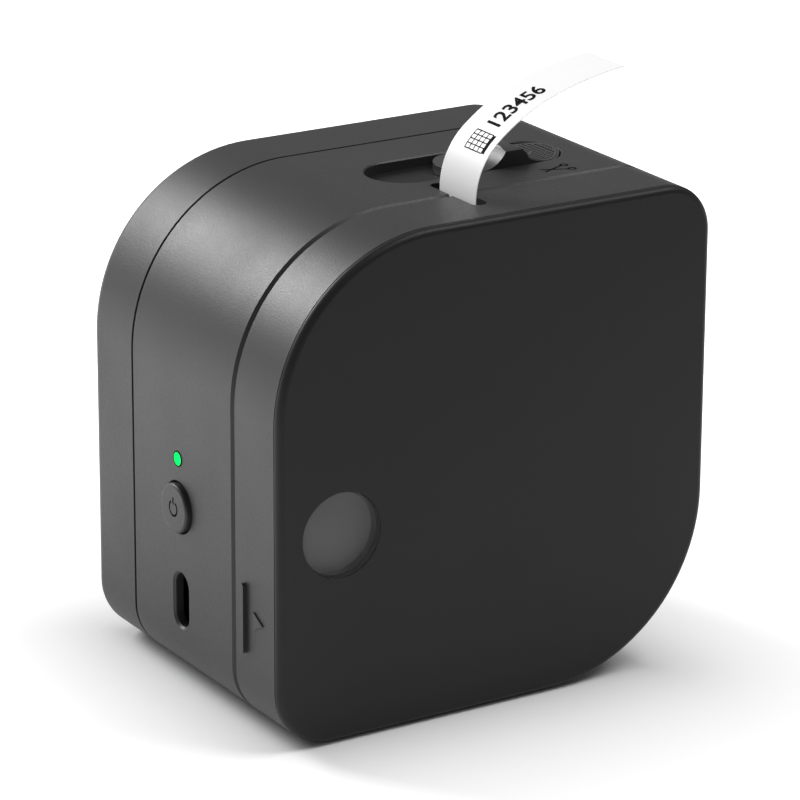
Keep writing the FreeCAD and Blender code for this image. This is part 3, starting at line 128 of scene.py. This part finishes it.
paper = bpy.data.materials.new("white_paper")
paper.use_nodes = True
tree = paper.node_tree
shader = tree.nodes["Principled BSDF"]
shader.inputs["Base Color"].default_value = (0.86, 0.86, 0.86, 1)
shader.inputs["Roughness"].default_value = 0.8
shader.inputs["Specular IOR Level"].default_value = 0.1
shader.inputs["Emission Strength"].default_value = 1.0
# The glow is painted light: nil at the footprint's edge as a painted contact shadow, growing
# outwards, and fading out towards the front as painted shade.
footprint_middle, footprint_half = (-0.0035, 0, 0), (0.0375, 0.033, 0)
near_glow, contact_shadow_fall = 0.38, -90.0
far_from, far_to, far_glow = 0.010, 0.12, 0.45
dark_front, lit_front = -0.20, -0.10
place = tree.nodes.new("ShaderNodeTexCoord").outputs["Object"]
beside = worked_out(tree, place, ("SUBTRACT", footprint_middle), ("ABSOLUTE",),
                    ("SUBTRACT", footprint_half), ("MAXIMUM", (0, 0, 0)), ("LENGTH",))
outer = ramped(tree, beside, far_from, far_to, high=far_glow)
apart = tree.nodes.new("ShaderNodeSeparateXYZ")
tree.links.new(place, apart.inputs["Vector"])
painted_front_shade = ramped(tree, apart.outputs["Y"], dark_front, lit_front)
painted_glow = worked_out(tree, beside, ("MULTIPLY", contact_shadow_fall), ("EXPONENT",),
                  ("MULTIPLY_ADD", -near_glow, near_glow), ("ADD", outer), ("MULTIPLY", painted_front_shade))
tree.links.new(painted_glow, shader.inputs["Emission Color"])
sheet = bpy.data.meshes.new("paper_floor")
across, along = np.meshgrid(np.linspace(-3, 3, 3), np.linspace(-3, 5, 3))
spots = np.stack([across.ravel(), along.ravel(), np.zeros(across.size)], axis=1)
first_corners = np.array([0, 1, 3, 4])
sheet.from_pydata(spots.tolist(), [], (first_corners[:, None] + np.array([0, 1, 4, 3])).tolist())
sheet.materials.append(paper)
paper_floor = placed("paper_floor", sheet)

air = bpy.data.worlds.new("studio_air")
air.use_nodes = True
tree = air.node_tree
brightest_way = (-0.34, 0.78, 0.52)
outward = tree.nodes.new("ShaderNodeTexCoord").outputs["Generated"]
facing = worked_out(tree, outward, ("DOT_PRODUCT", brightest_way))
backdrop = tree.nodes["Background"]
tree.links.new(ramped(tree, facing, -0.7, 0.7, low=0.06, high=0.38), backdrop.inputs["Strength"])
backdrop.inputs["Color"].default_value = (1, 1, 1, 1)
bpy.context.scene.world = air


def cloth_lamp(name, place, aimed_at, size, power):
    """A square lamp with a cloth front, turned to face a point."""
    lamp = bpy.data.lights.new(name, "AREA")
    lamp.shape, lamp.size, lamp.energy = "SQUARE", size, power
    facing = (Vector(aimed_at) - Vector(place)).to_track_quat("-Z", "Y")
    placed(name, lamp).matrix_world = Matrix.Translation(place) @ facing.to_matrix().to_4x4()


cloth_lamp("rear_lamp", place=(-0.42, 0.95, 0.66), aimed_at=(0, 0, 0.05), size=0.5, power=12.0)
cloth_lamp("top_lamp", place=(0.50, -0.36, 1.0), aimed_at=(0, 0, 0.05), size=0.55, power=6.0)


# ---- Rear cover, middle shell and front cover
# Three mouldings of black ABS with a fine spark texture.  Each is a band of the same
# outline, its edges a little rounded where the halves of the mould met, and they meet in
# two narrow seams, whose inner faces are coloured near-black as painted shade.
def spark_group():
    """Spark texture: fine noise gives a height, and mixed with a cloudy one it gives a tone."""
    fine_scale, cloudy_scale, cloudy_share = 5200.0, 55.0, 0.35
    group = bpy.data.node_groups.new("spark_texture", "ShaderNodeTree")
    face = group.interface
    face.new_socket("Vector", in_out="INPUT", socket_type="NodeSocketVector")
    scale = face.new_socket("Scale", in_out="INPUT", socket_type="NodeSocketFloat")
    scale.default_value = fine_scale
    for name in ("Tone", "Height"):
        face.new_socket(name, in_out="OUTPUT", socket_type="NodeSocketFloat")
    nodes, links = group.nodes, group.links
    start, end = nodes.new("NodeGroupInput"), nodes.new("NodeGroupOutput")
    fine, cloudy = nodes.new("ShaderNodeTexNoise"), nodes.new("ShaderNodeTexNoise")
    fine.inputs["Detail"].default_value = 2.0
    cloudy.inputs["Detail"].default_value = 3.0
    cloudy.inputs["Scale"].default_value = cloudy_scale
    tone = nodes.new("ShaderNodeMix")
    tone.inputs["Factor"].default_value = cloudy_share
    links.new(start.outputs["Vector"], fine.inputs["Vector"])
    links.new(start.outputs["Scale"], fine.inputs["Scale"])
    links.new(start.outputs["Vector"], cloudy.inputs["Vector"])
    links.new(fine.outputs[0], tone.inputs["A"])
    links.new(cloudy.outputs[0], tone.inputs["B"])
    links.new(tone.outputs["Result"], end.inputs["Tone"])
    links.new(fine.outputs[0], end.inputs["Height"])
    return group


spark_texture = spark_group()


def mixed(tree, share, first, second):
    """Mix two colours by a share."""
    mix = tree.nodes.new("ShaderNodeMix")
    mix.data_type = "RGBA"
    for name, amount in (("Factor", share), ("A", first), ("B", second)):
        given(tree, mix.inputs[name], amount)
    return mix.outputs["Result"]


def finish(name, colour, rough, metal=0.0, gloss=0.5, scale=5200.0, change=0.18, depth=0.00002,
           stretch=(1, 1, 1)):
    """A finish whose tone, roughness and height all vary with the spark texture.

    The colour swings by the share called change to either side of its middle, and the
    roughness by a fixed amount.
    """
    usual_tones, rough_swing, bump_share = (0.35, 0.65), 0.06, 0.6
    made = bpy.data.materials.new(name)
    made.use_nodes = True
    tree = made.node_tree
    nodes, links = tree.nodes, tree.links
    shader = nodes["Principled BSDF"]
    place, laid = nodes.new("ShaderNodeTexCoord"), nodes.new("ShaderNodeMapping")
    laid.inputs["Scale"].default_value = stretch
    texture = nodes.new("ShaderNodeGroup")
    texture.node_tree = spark_texture
    texture.inputs["Scale"].default_value = scale
    darker = (*[c * (1 - change) for c in colour], 1)
    lighter = (*[min(c * (1 + change), 1) for c in colour], 1)
    tone = texture.outputs["Tone"]
    relief = nodes.new("ShaderNodeBump")
    relief.inputs["Distance"].default_value = depth
    relief.inputs["Strength"].default_value = bump_share
    links.new(place.outputs["Object"], laid.inputs["Vector"])
    links.new(laid.outputs["Vector"], texture.inputs["Vector"])
    links.new(mixed(tree, tone, darker, lighter), shader.inputs["Base Color"])
    links.new(ramped(tree, tone, *usual_tones, rough - rough_swing, rough + rough_swing),
              shader.inputs["Roughness"])
    links.new(texture.outputs["Height"], relief.inputs["Height"])
    links.new(relief.outputs["Normal"], shader.inputs["Normal"])
    shader.inputs["Metallic"].default_value = metal
    shader.inputs["Specular IOR Level"].default_value = gloss
    return made


def dressed(nodes, material):
    """Give designed pieces a finish."""
    for node in nodes:
        NODES[node].data.materials.clear()
        NODES[node].data.materials.append(material)


low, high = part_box("middle_shell")
left, right, bottom, top = low.x, high.x, low.z, high.z
front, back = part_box("front_fascia")[0].y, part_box("rear_cover")[1].y
# Each corner of the outline: its x and z, which way is inward along each, and its radius.
case_corners = ((left, top, 1, -1, 0.0325), (right, top, -1, -1, 0.0095),
                (left, bottom, 1, 1, 0.0112), (right, bottom, -1, 1, 0.0336))
front_round, back_round = 0.00135, 0.003
seams = np.array([-0.01903, 0.01862])
seam_reach, seam_depth = 0.0009, 0.0002


def case_skin(spots):
    """How far each spot stands outside the case's skin, and the skin's direction there.

    The outline is a rectangle with four round corners, each with its own radius; in a
    corner's square the distance is that to the corner's centre, less the radius.  Near the
    front and the back the edge is rounded: the distance is then measured from a line that
    runs inside the edge, one rounding's radius away from both faces.
    """
    never_zero = 1e-12
    x, y, z = spots.T
    sides = np.stack([left - x, x - right, bottom - z, z - top])
    nearest = sides.argmax(0)
    away = sides.max(0)
    across = np.array([-1.0, 1, 0, 0])[nearest]
    upward = np.array([0.0, 0, -1, 1])[nearest]
    for corner_x, corner_z, to_x, to_z, radius in case_corners:
        dx, dz = x - (corner_x + to_x * radius), z - (corner_z + to_z * radius)
        here = (dx * to_x < 0) & (dz * to_z < 0)
        far = np.hypot(dx, dz) + never_zero
        away = np.where(here, far - radius, away)
        across, upward = np.where(here, dx / far, across), np.where(here, dz / far, upward)
    along = np.zeros(len(x))
    for radius, beyond, sign in ((front_round, front + front_round - y, -1),
                                 (back_round, y - back + back_round, 1)):
        here = (beyond > 0) & (away > -radius)
        out, far = away + radius, np.hypot(away + radius, beyond) + never_zero
        share = np.where(here, out / far, 1)
        along = np.where(here, sign * beyond / far, along)
        across, upward = across * share, upward * share
        away = np.where(here, far - radius, away)
    return away, np.stack([across, along, upward], axis=1)


def moulded(node, body, material, edge, name, angle=32, painted_shade=None):
    """A smooth copy of a designed piece, its sharp edges eased by a small round.

    Where it is part of the case's skin, its shading follows the skin's true direction.
    Faces deep in a seam take the second material, a near-black painted shade.
    """
    weld, skin_play, least_alignment = 2e-6, 8e-6, 0.6
    mesh = NODES[node].data.copy()
    joined = bmesh.new()
    joined.from_mesh(mesh)
    bmesh.ops.remove_doubles(joined, verts=joined.verts, dist=weld)
    joined.to_mesh(mesh)
    joined.free()
    mesh.materials.clear()
    mesh.polygons.foreach_set("use_smooth", [True] * len(mesh.polygons))
    mesh.set_sharp_from_angle(angle=math.radians(angle))
    draft = placed(name, mesh)
    ease = draft.modifiers.new("eased_edges", "BEVEL")
    ease.width, ease.segments, ease.limit_method = edge, 3, "ANGLE"
    ease.angle_limit = math.radians(angle)
    draft.modifiers.new("even_shading", "WEIGHTED_NORMAL").keep_sharp = True
    bpy.context.view_layer.update()
    eased = draft.evaluated_get(bpy.context.evaluated_depsgraph_get())
    mesh = bpy.data.meshes.new_from_object(eased)
    bpy.data.objects.remove(draft)
    mesh.name = name
    spots, normals = np.zeros(3 * len(mesh.vertices)), np.zeros(3 * len(mesh.loops))
    owner = np.zeros(len(mesh.loops), int)
    mesh.vertices.foreach_get("co", spots)
    mesh.corner_normals.foreach_get("vector", normals)
    mesh.loops.foreach_get("vertex_index", owner)
    spots, normals = spots.reshape(-1, 3), normals.reshape(-1, 3)
    away, facing = case_skin(spots)
    true = facing[owner]
    on_skin = (np.abs(away[owner]) < skin_play) & ((true * normals).sum(1) > least_alignment)
    normals[on_skin] = true[on_skin]
    mesh.normals_split_custom_set(normals.tolist())
    mesh.materials.append(material)
    if painted_shade:
        mesh.materials.append(painted_shade)
        starts = np.zeros(len(mesh.polygons), int)
        mesh.polygons.foreach_get("loop_start", starts)
        # Faces buried in a seam are coloured near-black: painted shade.
        near = np.abs(spots[:, 1, None] - seams).min(1) < seam_reach
        buried = away < -seam_depth
        painted_dark = (np.logical_and.reduceat(buried[owner], starts)
                  & np.logical_or.reduceat(near[owner], starts))
        mesh.polygons.foreach_set("material_index", painted_dark.astype(int))
    piece = placed(name, mesh)
    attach(piece, body)
    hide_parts(node)
    return piece


case_black = finish("case_black", (0.025, 0.025, 0.0254), 0.45, gloss=0.42, scale=3600.0,
                    depth=0.00006)
# Painted shade for the faces inside the seams: the same plastic, coloured near-black and matt.
painted_seam_shade = finish("painted_seam_shade", (0.003, 0.003, 0.003), 0.9, gloss=0.05)
moulded("rear_cover", "shell", case_black, edge=0.00012,
        name="rear_cover_moulding", painted_shade=painted_seam_shade)
moulded("middle_shell", "shell", case_black, edge=0.00015,
        name="middle_shell_moulding", painted_shade=painted_seam_shade)
moulded("front_cover", "cover", case_black, edge=0.00012,
        name="front_cover_moulding", painted_shade=painted_seam_shade)

# ---- Front fascia
# The flat face is a separate plate, in a slightly finer texture, clipped into the front
# cover behind a hairline joint.  Its colour is darker than the case's: painted shade for a
# face that looks away from the lamps.
fascia_black = finish("fascia_black", (0.015, 0.015, 0.0152), 0.44, gloss=0.22, scale=6500.0)
moulded("front_fascia", "cover", fascia_black, edge=0.00006, name="fascia_moulding")

# ---- Window, and the cassette's face behind it
# A clear acrylic disc on a glossy black seat ring.  Behind it the cassette's lid carries a
# round grey film that shows through.
clear_lens = bpy.data.materials.new("clear_acrylic")
clear_lens.use_nodes = True
shader = clear_lens.node_tree.nodes["Principled BSDF"]
shader.inputs["Base Color"].default_value = (0.05, 0.05, 0.052, 1)
shader.inputs["Roughness"].default_value = 0.04
shader.inputs["Alpha"].default_value = 0.22
shader.inputs["Specular IOR Level"].default_value = 0.6
moulded("window_lens", "cover", clear_lens, edge=0.00012, name="window_disc")
ring_black = finish("ring_black", (0.03, 0.03, 0.03), 0.14, gloss=0.7)
moulded("lens_ring", "cover", ring_black, edge=0.00012, name="lens_seat")
cassette_grey = finish("cassette_grey", (0.16, 0.16, 0.165), 0.5, scale=4000.0)
dressed(["cassette_lid", "cassette_case"], cassette_grey)
sticker_grey = finish("sticker_grey", (0.22, 0.22, 0.225), 0.55, scale=7000.0, change=0.06,
                      depth=0.000005)
dressed(["cassette_sticker"], sticker_grey)

# ---- Power button
# A round cap of the case's own plastic, on a pin that reaches the switch.  Its sign is a
# broken ring and a bar, printed in matt black.
moulded("power_button", "button", case_black, edge=0.00012, name="power_button_cap")


def arc(middle, radius, start=0, end=360, count=97):
    """Points at even angles round a middle: the middle plus the radius times (cos, sin)."""
    angles = np.radians(np.linspace(start, end, count))
    return np.array(middle) + np.stack([np.cos(angles), np.sin(angles)], axis=1) * radius


def strip_mesh(name, paths, thick, place, material):
    """Flat strokes of a width, each a ribbon along a plane path, set out by a placing rule.

    Each path is an array of (u, v) points; at every point the ribbon's two edges stand half
    its width to either side of the path's direction, at the surface and a hair above it.
    """
    rim = np.arange(4)
    wall = np.stack([rim, (rim + 1) % 4, 4 + (rim + 1) % 4, 4 + rim], axis=1)
    verts, faces = [], []
    for path, width in paths:
        path = np.asarray(path, float)
        ahead = np.gradient(path, axis=0)
        ahead /= np.linalg.norm(ahead, axis=1)[:, None]
        side = np.stack([-ahead[:, 1], ahead[:, 0]], axis=1) * width / 2
        start, last = len(verts), len(verts) + 4 * (len(path) - 1)
        rows = [place(path + sign * side, height)
                for sign, height in ((1, 0), (1, thick), (-1, thick), (-1, 0))]
        verts += np.stack(rows, axis=1).reshape(-1, 3).tolist()
        faces += (np.arange(start, last, 4)[:, None, None] + wall).reshape(-1, 4).tolist()
        faces += [(start + rim).tolist(), (last + rim[::-1]).tolist()]
    mesh = bpy.data.meshes.new(name)
    mesh.from_pydata(verts, [], faces)
    turned_out = bmesh.new()
    turned_out.from_mesh(mesh)
    bmesh.ops.recalc_face_normals(turned_out, faces=turned_out.faces)
    turned_out.to_mesh(mesh)
    turned_out.free()
    mesh.materials.append(material)
    return placed(name, mesh)


sign_and_shade_black = finish("sign_and_shade_black", (0.002, 0.002, 0.002), 0.7, gloss=0.03)
low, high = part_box("power_button")
cap_face = low.x
cap_y, cap_z = (low.y + high.y) / 2, (low.z + high.z) / 2
sign_radius, sign_stroke, print_and_shade_height = 0.0014, 0.00042, 0.00001
gap_end, gap_start = 122, 418


def on_the_cap(spots, height):
    """Places (y, z) on the button's face, which looks to the left."""
    return np.stack([np.full(len(spots), cap_face - height), spots[:, 0], spots[:, 1]], axis=1)


ring = arc((cap_y, cap_z), sign_radius, gap_end, gap_start, 40)
bar = np.array([(cap_y, cap_z + rise) for rise in (0.00075, 0.0014, 0.00215)])
sign = strip_mesh("power_sign", [(ring, sign_stroke), (bar, sign_stroke)], print_and_shade_height,
                  on_the_cap, sign_and_shade_black)
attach(sign, "button")

# ---- Window's border
# A thin black ring laid on the window's face, just inside its edge, in the same black as
# the power sign: painted shade for the dark line of the gap round the lens.
lens_low, lens_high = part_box("window_lens")
lens_middle = (lens_low.x + lens_high.x) / 2, (lens_low.z + lens_high.z) / 2
lens_radius = (lens_high.x - lens_low.x) / 2
border_inset, border_width = 0.00025, 0.00022


def on_the_lens(spots, height):
    """Places (x, z) on the window's front face."""
    return np.stack([spots[:, 0], np.full(len(spots), lens_low.y - height), spots[:, 1]], axis=1)


border = arc(lens_middle, lens_radius - border_inset)
# Painted shade: a black ring standing for the dark gap round the lens.
lens_gap_shade = strip_mesh("lens_gap_shade", [(border, border_width)], print_and_shade_height, on_the_lens,
                         sign_and_shade_black)
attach(lens_gap_shade, "cover")

# ---- Status light
# A light pipe of clear green plastic, flush with the wall and lit from the side board.  Only
# its round core shines; the collar round it stays dark.
lit_green = bpy.data.materials.new("lit_green")
lit_green.use_nodes = True
tree = lit_green.node_tree
shader = tree.nodes["Principled BSDF"]
place = tree.nodes.new("ShaderNodeTexCoord").outputs["Object"]
cloud = tree.nodes.new("ShaderNodeTexNoise")
cloud.inputs["Scale"].default_value = 900.0
tree.links.new(place, cloud.inputs["Vector"])
tint = mixed(tree, cloud.outputs[0], (0.0, 0.88, 0.08, 1), (0.0, 1.0, 0.14, 1))
pipe_low, pipe_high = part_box("led_pipe")
pipe_middle = (0, (pipe_low.y + pipe_high.y) / 2, (pipe_low.z + pipe_high.z) / 2)
core_radius = 0.00122
from_middle = worked_out(tree, place, ("MULTIPLY", (0, 1, 1)), ("DISTANCE", pipe_middle))
within = worked_out(tree, from_middle, ("LESS_THAN", core_radius))
lit = mixed(tree, within, (0.004, 0.012, 0.005, 1), tint)
tree.links.new(lit, shader.inputs["Base Color"])
tree.links.new(lit, shader.inputs["Emission Color"])
shader.inputs["Emission Strength"].default_value = 0.95
shader.inputs["Roughness"].default_value = 0.6
shader.inputs["Specular IOR Level"].default_value = 0.02
dressed(["led_pipe", "status_led"], lit_green)

# ---- Charging socket
# The port's steel shell and its black plastic tongue stand back behind their opening, so
# that only its rounded slot shows.  Both are near-black: on the steel shell this is painted
# shade, the dark deep inside the port.
socket_black_and_shade = finish("socket_black_and_shade", (0.008, 0.008, 0.008), 0.6, gloss=0.2)
dressed(["usb_shell", "usb_tongue"], socket_black_and_shade)

# ---- Lever's tray and thumb lever
# The tray is a dark slide at the bottom of the slot.  The lever is one moulding: a low
# rounded end, a crest that the thumb pushes, and a hollow behind it with a cross-cut grip.
tray_black = finish("tray_black", (0.012, 0.012, 0.012), 0.5, gloss=0.3)
dressed(["lever_tray"], tray_black)
lever_black = finish("lever_black", (0.030, 0.030, 0.0305), 0.4, gloss=0.5, scale=6500.0)
moulded("cutter_lever", "cutter", lever_black, edge=0.0003, name="thumb_lever")
lever_low, lever_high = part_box("cutter_lever")
lever_middle = (lever_low.y + lever_high.y) / 2
case_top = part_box("middle_shell")[1].z
heel, end = 0.0234, lever_high.x
hollow_x = np.array([heel, (heel + end) / 2, end])
hollow_z = case_top + np.array([0.0009, -0.00035, 0.00045])
hollow = np.polyfit(hollow_x, hollow_z, 2)


def on_the_hollow(spots, height):
    """Places (x, y) laid on the lever's hollow, whose floor is a parabola along x."""
    return np.stack([spots[:, 0], lever_middle + spots[:, 1],
                     np.polyval(hollow, spots[:, 0]) + height], axis=1)


bow_y = np.array([-0.0066, -0.0040, 0.0006, 0.0052])
bow_x = np.array([0.0239, 0.0249, 0.0266, 0.0286])
bow = np.polyfit(bow_y, bow_x, 2)
leaf_x, leaf_radius = end - 0.0070, 0.0063


def inside_leaf(x, y):
    """Whether places lie in the grip's leaf: in the lever's round end, right of a bowed line."""
    return (np.hypot(x - leaf_x, y) < leaf_radius) & (x > np.polyval(bow, y))


def within_leaf(start, end, count):
    """The part of a straight line that lies in the leaf, in even steps, if it isn't too short."""
    fine_steps, least_steps = 400, 30
    line = np.linspace(start, end, fine_steps)
    line = line[inside_leaf(*line.T)]
    return [np.linspace(line[0], line[-1], count)] if len(line) > least_steps else []


pitch, rib_width, rim_width, tick_glint_width, rib_height = 0.00085, 0.00022, 0.00028, 0.00036, 0.00012
crossing = [path for x in np.arange(heel, end, pitch)
            for path in within_leaf((x, -leaf_radius), (x, leaf_radius), 13)]
lengthways = [path for y in np.arange(-7, 8) * pitch
              for path in within_leaf((heel, y), (end, y), 25)]
rim = arc((leaf_x, 0), leaf_radius, -180, 180, 721)
rim = rim[rim[:, 0] > np.polyval(bow, rim[:, 1])][::6]
bowed_y = np.linspace(rim[-1, 1], rim[0, 1], 20)[1:]
bowed = np.stack([np.polyval(bow, bowed_y), bowed_y], axis=1)
# The tick is a painted highlight: a light stroke where the edge of a small raised mark catches the
# lamp.
tick_glint = np.array([[0.0269, -0.0015], [0.0278, -0.0006], [0.0287, 0.0004]])
lines = [(path, rib_width) for path in crossing + lengthways]
lines += [(rim, rim_width), (np.concatenate([rim[-1:], bowed]), rim_width), (tick_glint, tick_glint_width)]
# The grip's strokes are a lighter grey than the lever; on the rim and the tick this is painted
# highlight, where their edges catch the lamp.
grip_grey_and_glint = finish("grip_grey_and_glint", (0.055, 0.055, 0.055), 0.35)
grip = strip_mesh("thumb_grip", lines, rib_height, on_the_hollow, grip_grey_and_glint)
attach(grip, "cutter")

# ---- Tape
# White label film: the roll on its spool, the strip that feeds up to the cutter, and the
# printed label that curls out of the slot.
label_white = finish("label_white", (0.90, 0.90, 0.90), 0.45, scale=3000.0, change=0.015,
                     depth=0.000002)
# A faint glow brightens the white film: painted light.
painted_light_shader = label_white.node_tree.nodes["Principled BSDF"]
painted_light_shader.inputs["Emission Color"].default_value = (1, 1, 1, 1)
painted_light_shader.inputs["Emission Strength"].default_value = 0.05
dressed(["tape_roll", "label_strip", "printed_label"], label_white)

# ---- Printing on the label
# A small grid and a row of digits in black, printed by heat on the label's upper face.  Both
# are laid out flat and then carried along the label's curl.
label_low, label_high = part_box("printed_label")
tape_left, curl_from, half_film = label_low.x, 0.0942, 0.000075
# Each bend of the curl: its radius, and its heading above the level at its start and end.
bends = ((0.014, 90, 40), (0.038, 40, 18), (0.075, 18, 7))


def on_the_tape(spots, height):
    """Places (s, y) on the label's upper face: s runs along its three bends from the slot.

    In each bend the heading falls evenly with s, and the place is the bend's centre plus
    its radius across the heading.
    """
    s, y = spots[:, 0], spots[:, 1]
    x0, z0 = tape_left + half_film, curl_from
    out = np.zeros((len(s), 3))
    start = 0.0
    for radius, first, last in bends:
        first, last = math.radians(first), math.radians(last)
        length = radius * (first - last)
        cx, cz = x0 + radius * math.sin(first), z0 - radius * math.cos(first)
        here = s >= start
        heading = first - np.minimum(s - start, length) / radius
        raised = radius + half_film + height
        bent = np.stack([cx - raised * np.sin(heading), y, cz + raised * np.cos(heading)], axis=1)
        out[here] = bent[here]
        x0, z0 = cx - radius * math.sin(last), cz + radius * math.cos(last)
        start += length
    return out


ink_black = finish("ink_black", (0.003, 0.003, 0.003), 0.7, gloss=0.05, change=0.1)
middle = (label_low.y + label_high.y) / 2 - 0.0009
digits_from, digits_long, digits_high, ink_height = 0.0145, 0.0118, 0.0042, 0.00003
digits = bpy.data.curves.new("digits", "FONT")
digits.body, digits.size, digits.align_x = "123456", 0.0058, "LEFT"
digits.resolution_u, digits.offset = 4, 0.00012
draft = placed("digits", digits)
bpy.context.view_layer.update()
figure = bpy.data.meshes.new_from_object(
    draft.evaluated_get(bpy.context.evaluated_depsgraph_get()))
bpy.data.objects.remove(draft)
flat = np.zeros(len(figure.vertices) * 3)
figure.vertices.foreach_get("co", flat)
flat = flat.reshape(-1, 3)[:, :2]
flat = (flat - flat.min(0)) / (flat.max(0) - flat.min(0))
laid = on_the_tape(np.stack([digits_from + digits_long * flat[:, 0],
                             middle - digits_high / 2 + digits_high * flat[:, 1]], axis=1),
                   ink_height)
figure.vertices.foreach_set("co", laid.ravel())
figure.materials.append(ink_black)
figure.update()
printing = placed("label_digits", figure)
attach(printing, "cassette")

grid_from, grid_to, grid_half = 0.0086, 0.0126, 0.0027
grid_line, head_line, head_out, grid_height = 0.00022, 0.0009, 0.0031, 0.00002
grid = []
for share in np.linspace(0, 1, 5):
    y = middle - grid_half + 2 * grid_half * share
    s = grid_from + (grid_to - grid_from) * share
    grid.append((np.linspace((grid_from, y), (grid_to, y), 12), grid_line))
    grid.append((np.linspace((s, middle - grid_half), (s, middle + grid_half), 12), grid_line))
grid.append((np.linspace((grid_from, middle - head_out), (grid_to, middle - head_out), 12),
             head_line))
square = strip_mesh("label_grid", grid, grid_height, on_the_tape, ink_black)
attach(square, "cassette")


# ---- Scissors sign
# Printed on the top beside the lever in the same matt black as the power sign: two crossed
# blades with round handles.
def on_the_top(spots, height):
    """Places (x, y) on the flat top of the middle shell."""
    return np.stack([spots[:, 0], spots[:, 1], np.full(len(spots), case_top + height)], axis=1)


handle_x, handle_radii = 0.0282, (0.00068, 0.00062)
blade_from, blade_to, stroke_width, sign_height = 0.0276, 0.0226, 0.00042, 0.000015
strokes = []
for handle_y, tip_y in ((-0.01262, -0.01480), (-0.01530, -0.01310)):
    strokes.append((arc((handle_x, handle_y), handle_radii, count=25), stroke_width))
    strokes.append((np.linspace((blade_from, handle_y), (blade_to, tip_y), 12), stroke_width))
scissors = strip_mesh("scissors_sign", strokes, sign_height, on_the_top, sign_and_shade_black)
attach(scissors, "shell")

# ---- Feet and case screws
# Soft rubber feet pressed into the underside, with the print roller in the same rubber, and
# the blackened steel screws that hold the rear cover.
rubber_black = finish("rubber_black", (0.02, 0.02, 0.02), 0.8, scale=2500.0, depth=0.00003)
dressed(["rubber_feet", "platen_roller"], rubber_black)
screw_black = finish("screw_black", (0.06, 0.06, 0.065), 0.35, metal=1.0, scale=2500.0)
dressed(["case_screws"], screw_black)

# ---- Works inside
# What shows when the cover is off: dark plastic plates, drawn steel parts and screws, pale
# gears, the ceramic print head on its heat sink, the boards and the foil-wrapped battery.
inner_plastic = finish("inner_plastic", (0.045, 0.045, 0.046), 0.5)
dressed(["frame_plate", "cutter_carriage", "tape_spool"], inner_plastic)
steel = finish("drawn_steel", (0.55, 0.55, 0.57), 0.32, metal=1.0, scale=900.0, change=0.1,
               depth=0.000004, stretch=(1, 8, 1))
dressed(["cutter_blade", "blade_screws", "blade_anvil", "roller_bracket", "roller_shaft",
         "head_springs", "plate_screws", "arm_screws", "idler_pin", "idler_clip",
         "drive_motor", "motor_shaft", "motor_screws", "motor_bracket", "bracket_screws",
         "wireless_module", "board_screws"], steel)
gear_white = finish("gear_white", (0.78, 0.78, 0.74), 0.4, scale=3000.0, change=0.04)
dressed(["roller_bushes", "roller_gear", "idler_gear", "motor_pinion", "battery_plug"], gear_white)
head_ceramic = finish("head_ceramic", (0.75, 0.72, 0.64), 0.25, scale=3000.0, change=0.05)
dressed(["print_head"], head_ceramic)
sink_silver = finish("sink_silver", (0.7, 0.71, 0.73), 0.35, metal=1.0, scale=1500.0,
                     change=0.06, stretch=(1, 1, 9))
dressed(["head_sink"], sink_silver)
board_green = finish("board_green", (0.02, 0.15, 0.06), 0.35, scale=1200.0, change=0.3)
dressed(["main_board", "side_board"], board_green)
chip_black = finish("chip_black", (0.02, 0.02, 0.021), 0.55, scale=4000.0)
dressed(["board_chips", "tact_switch", "switch_stem"], chip_black)
foil_silver = finish("foil_silver", (0.6, 0.61, 0.63), 0.3, metal=1.0, scale=400.0,
                     change=0.08, depth=0.00005)
dressed(["battery_cell"], foil_silver)
foam_grey = finish("foam_grey", (0.06, 0.06, 0.065), 0.9, scale=1800.0, change=0.5, depth=0.0001)
dressed(["battery_pad"], foam_grey)

# ---- Return spring
# A copy of the coil stands for it, held on the case.  In the machine its left end stays on
# the case and it shortens by the lever's travel, as the carriage comes towards it; the copy
# keeps its length.
coil_mesh = NODES["return_spring"].data.copy()
coil_mesh.materials.clear()
coil_mesh.materials.append(steel)
short_coil = placed("short_coil", coil_mesh)
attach(short_coil, "shell")
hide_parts("return_spring")
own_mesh(short_coil)
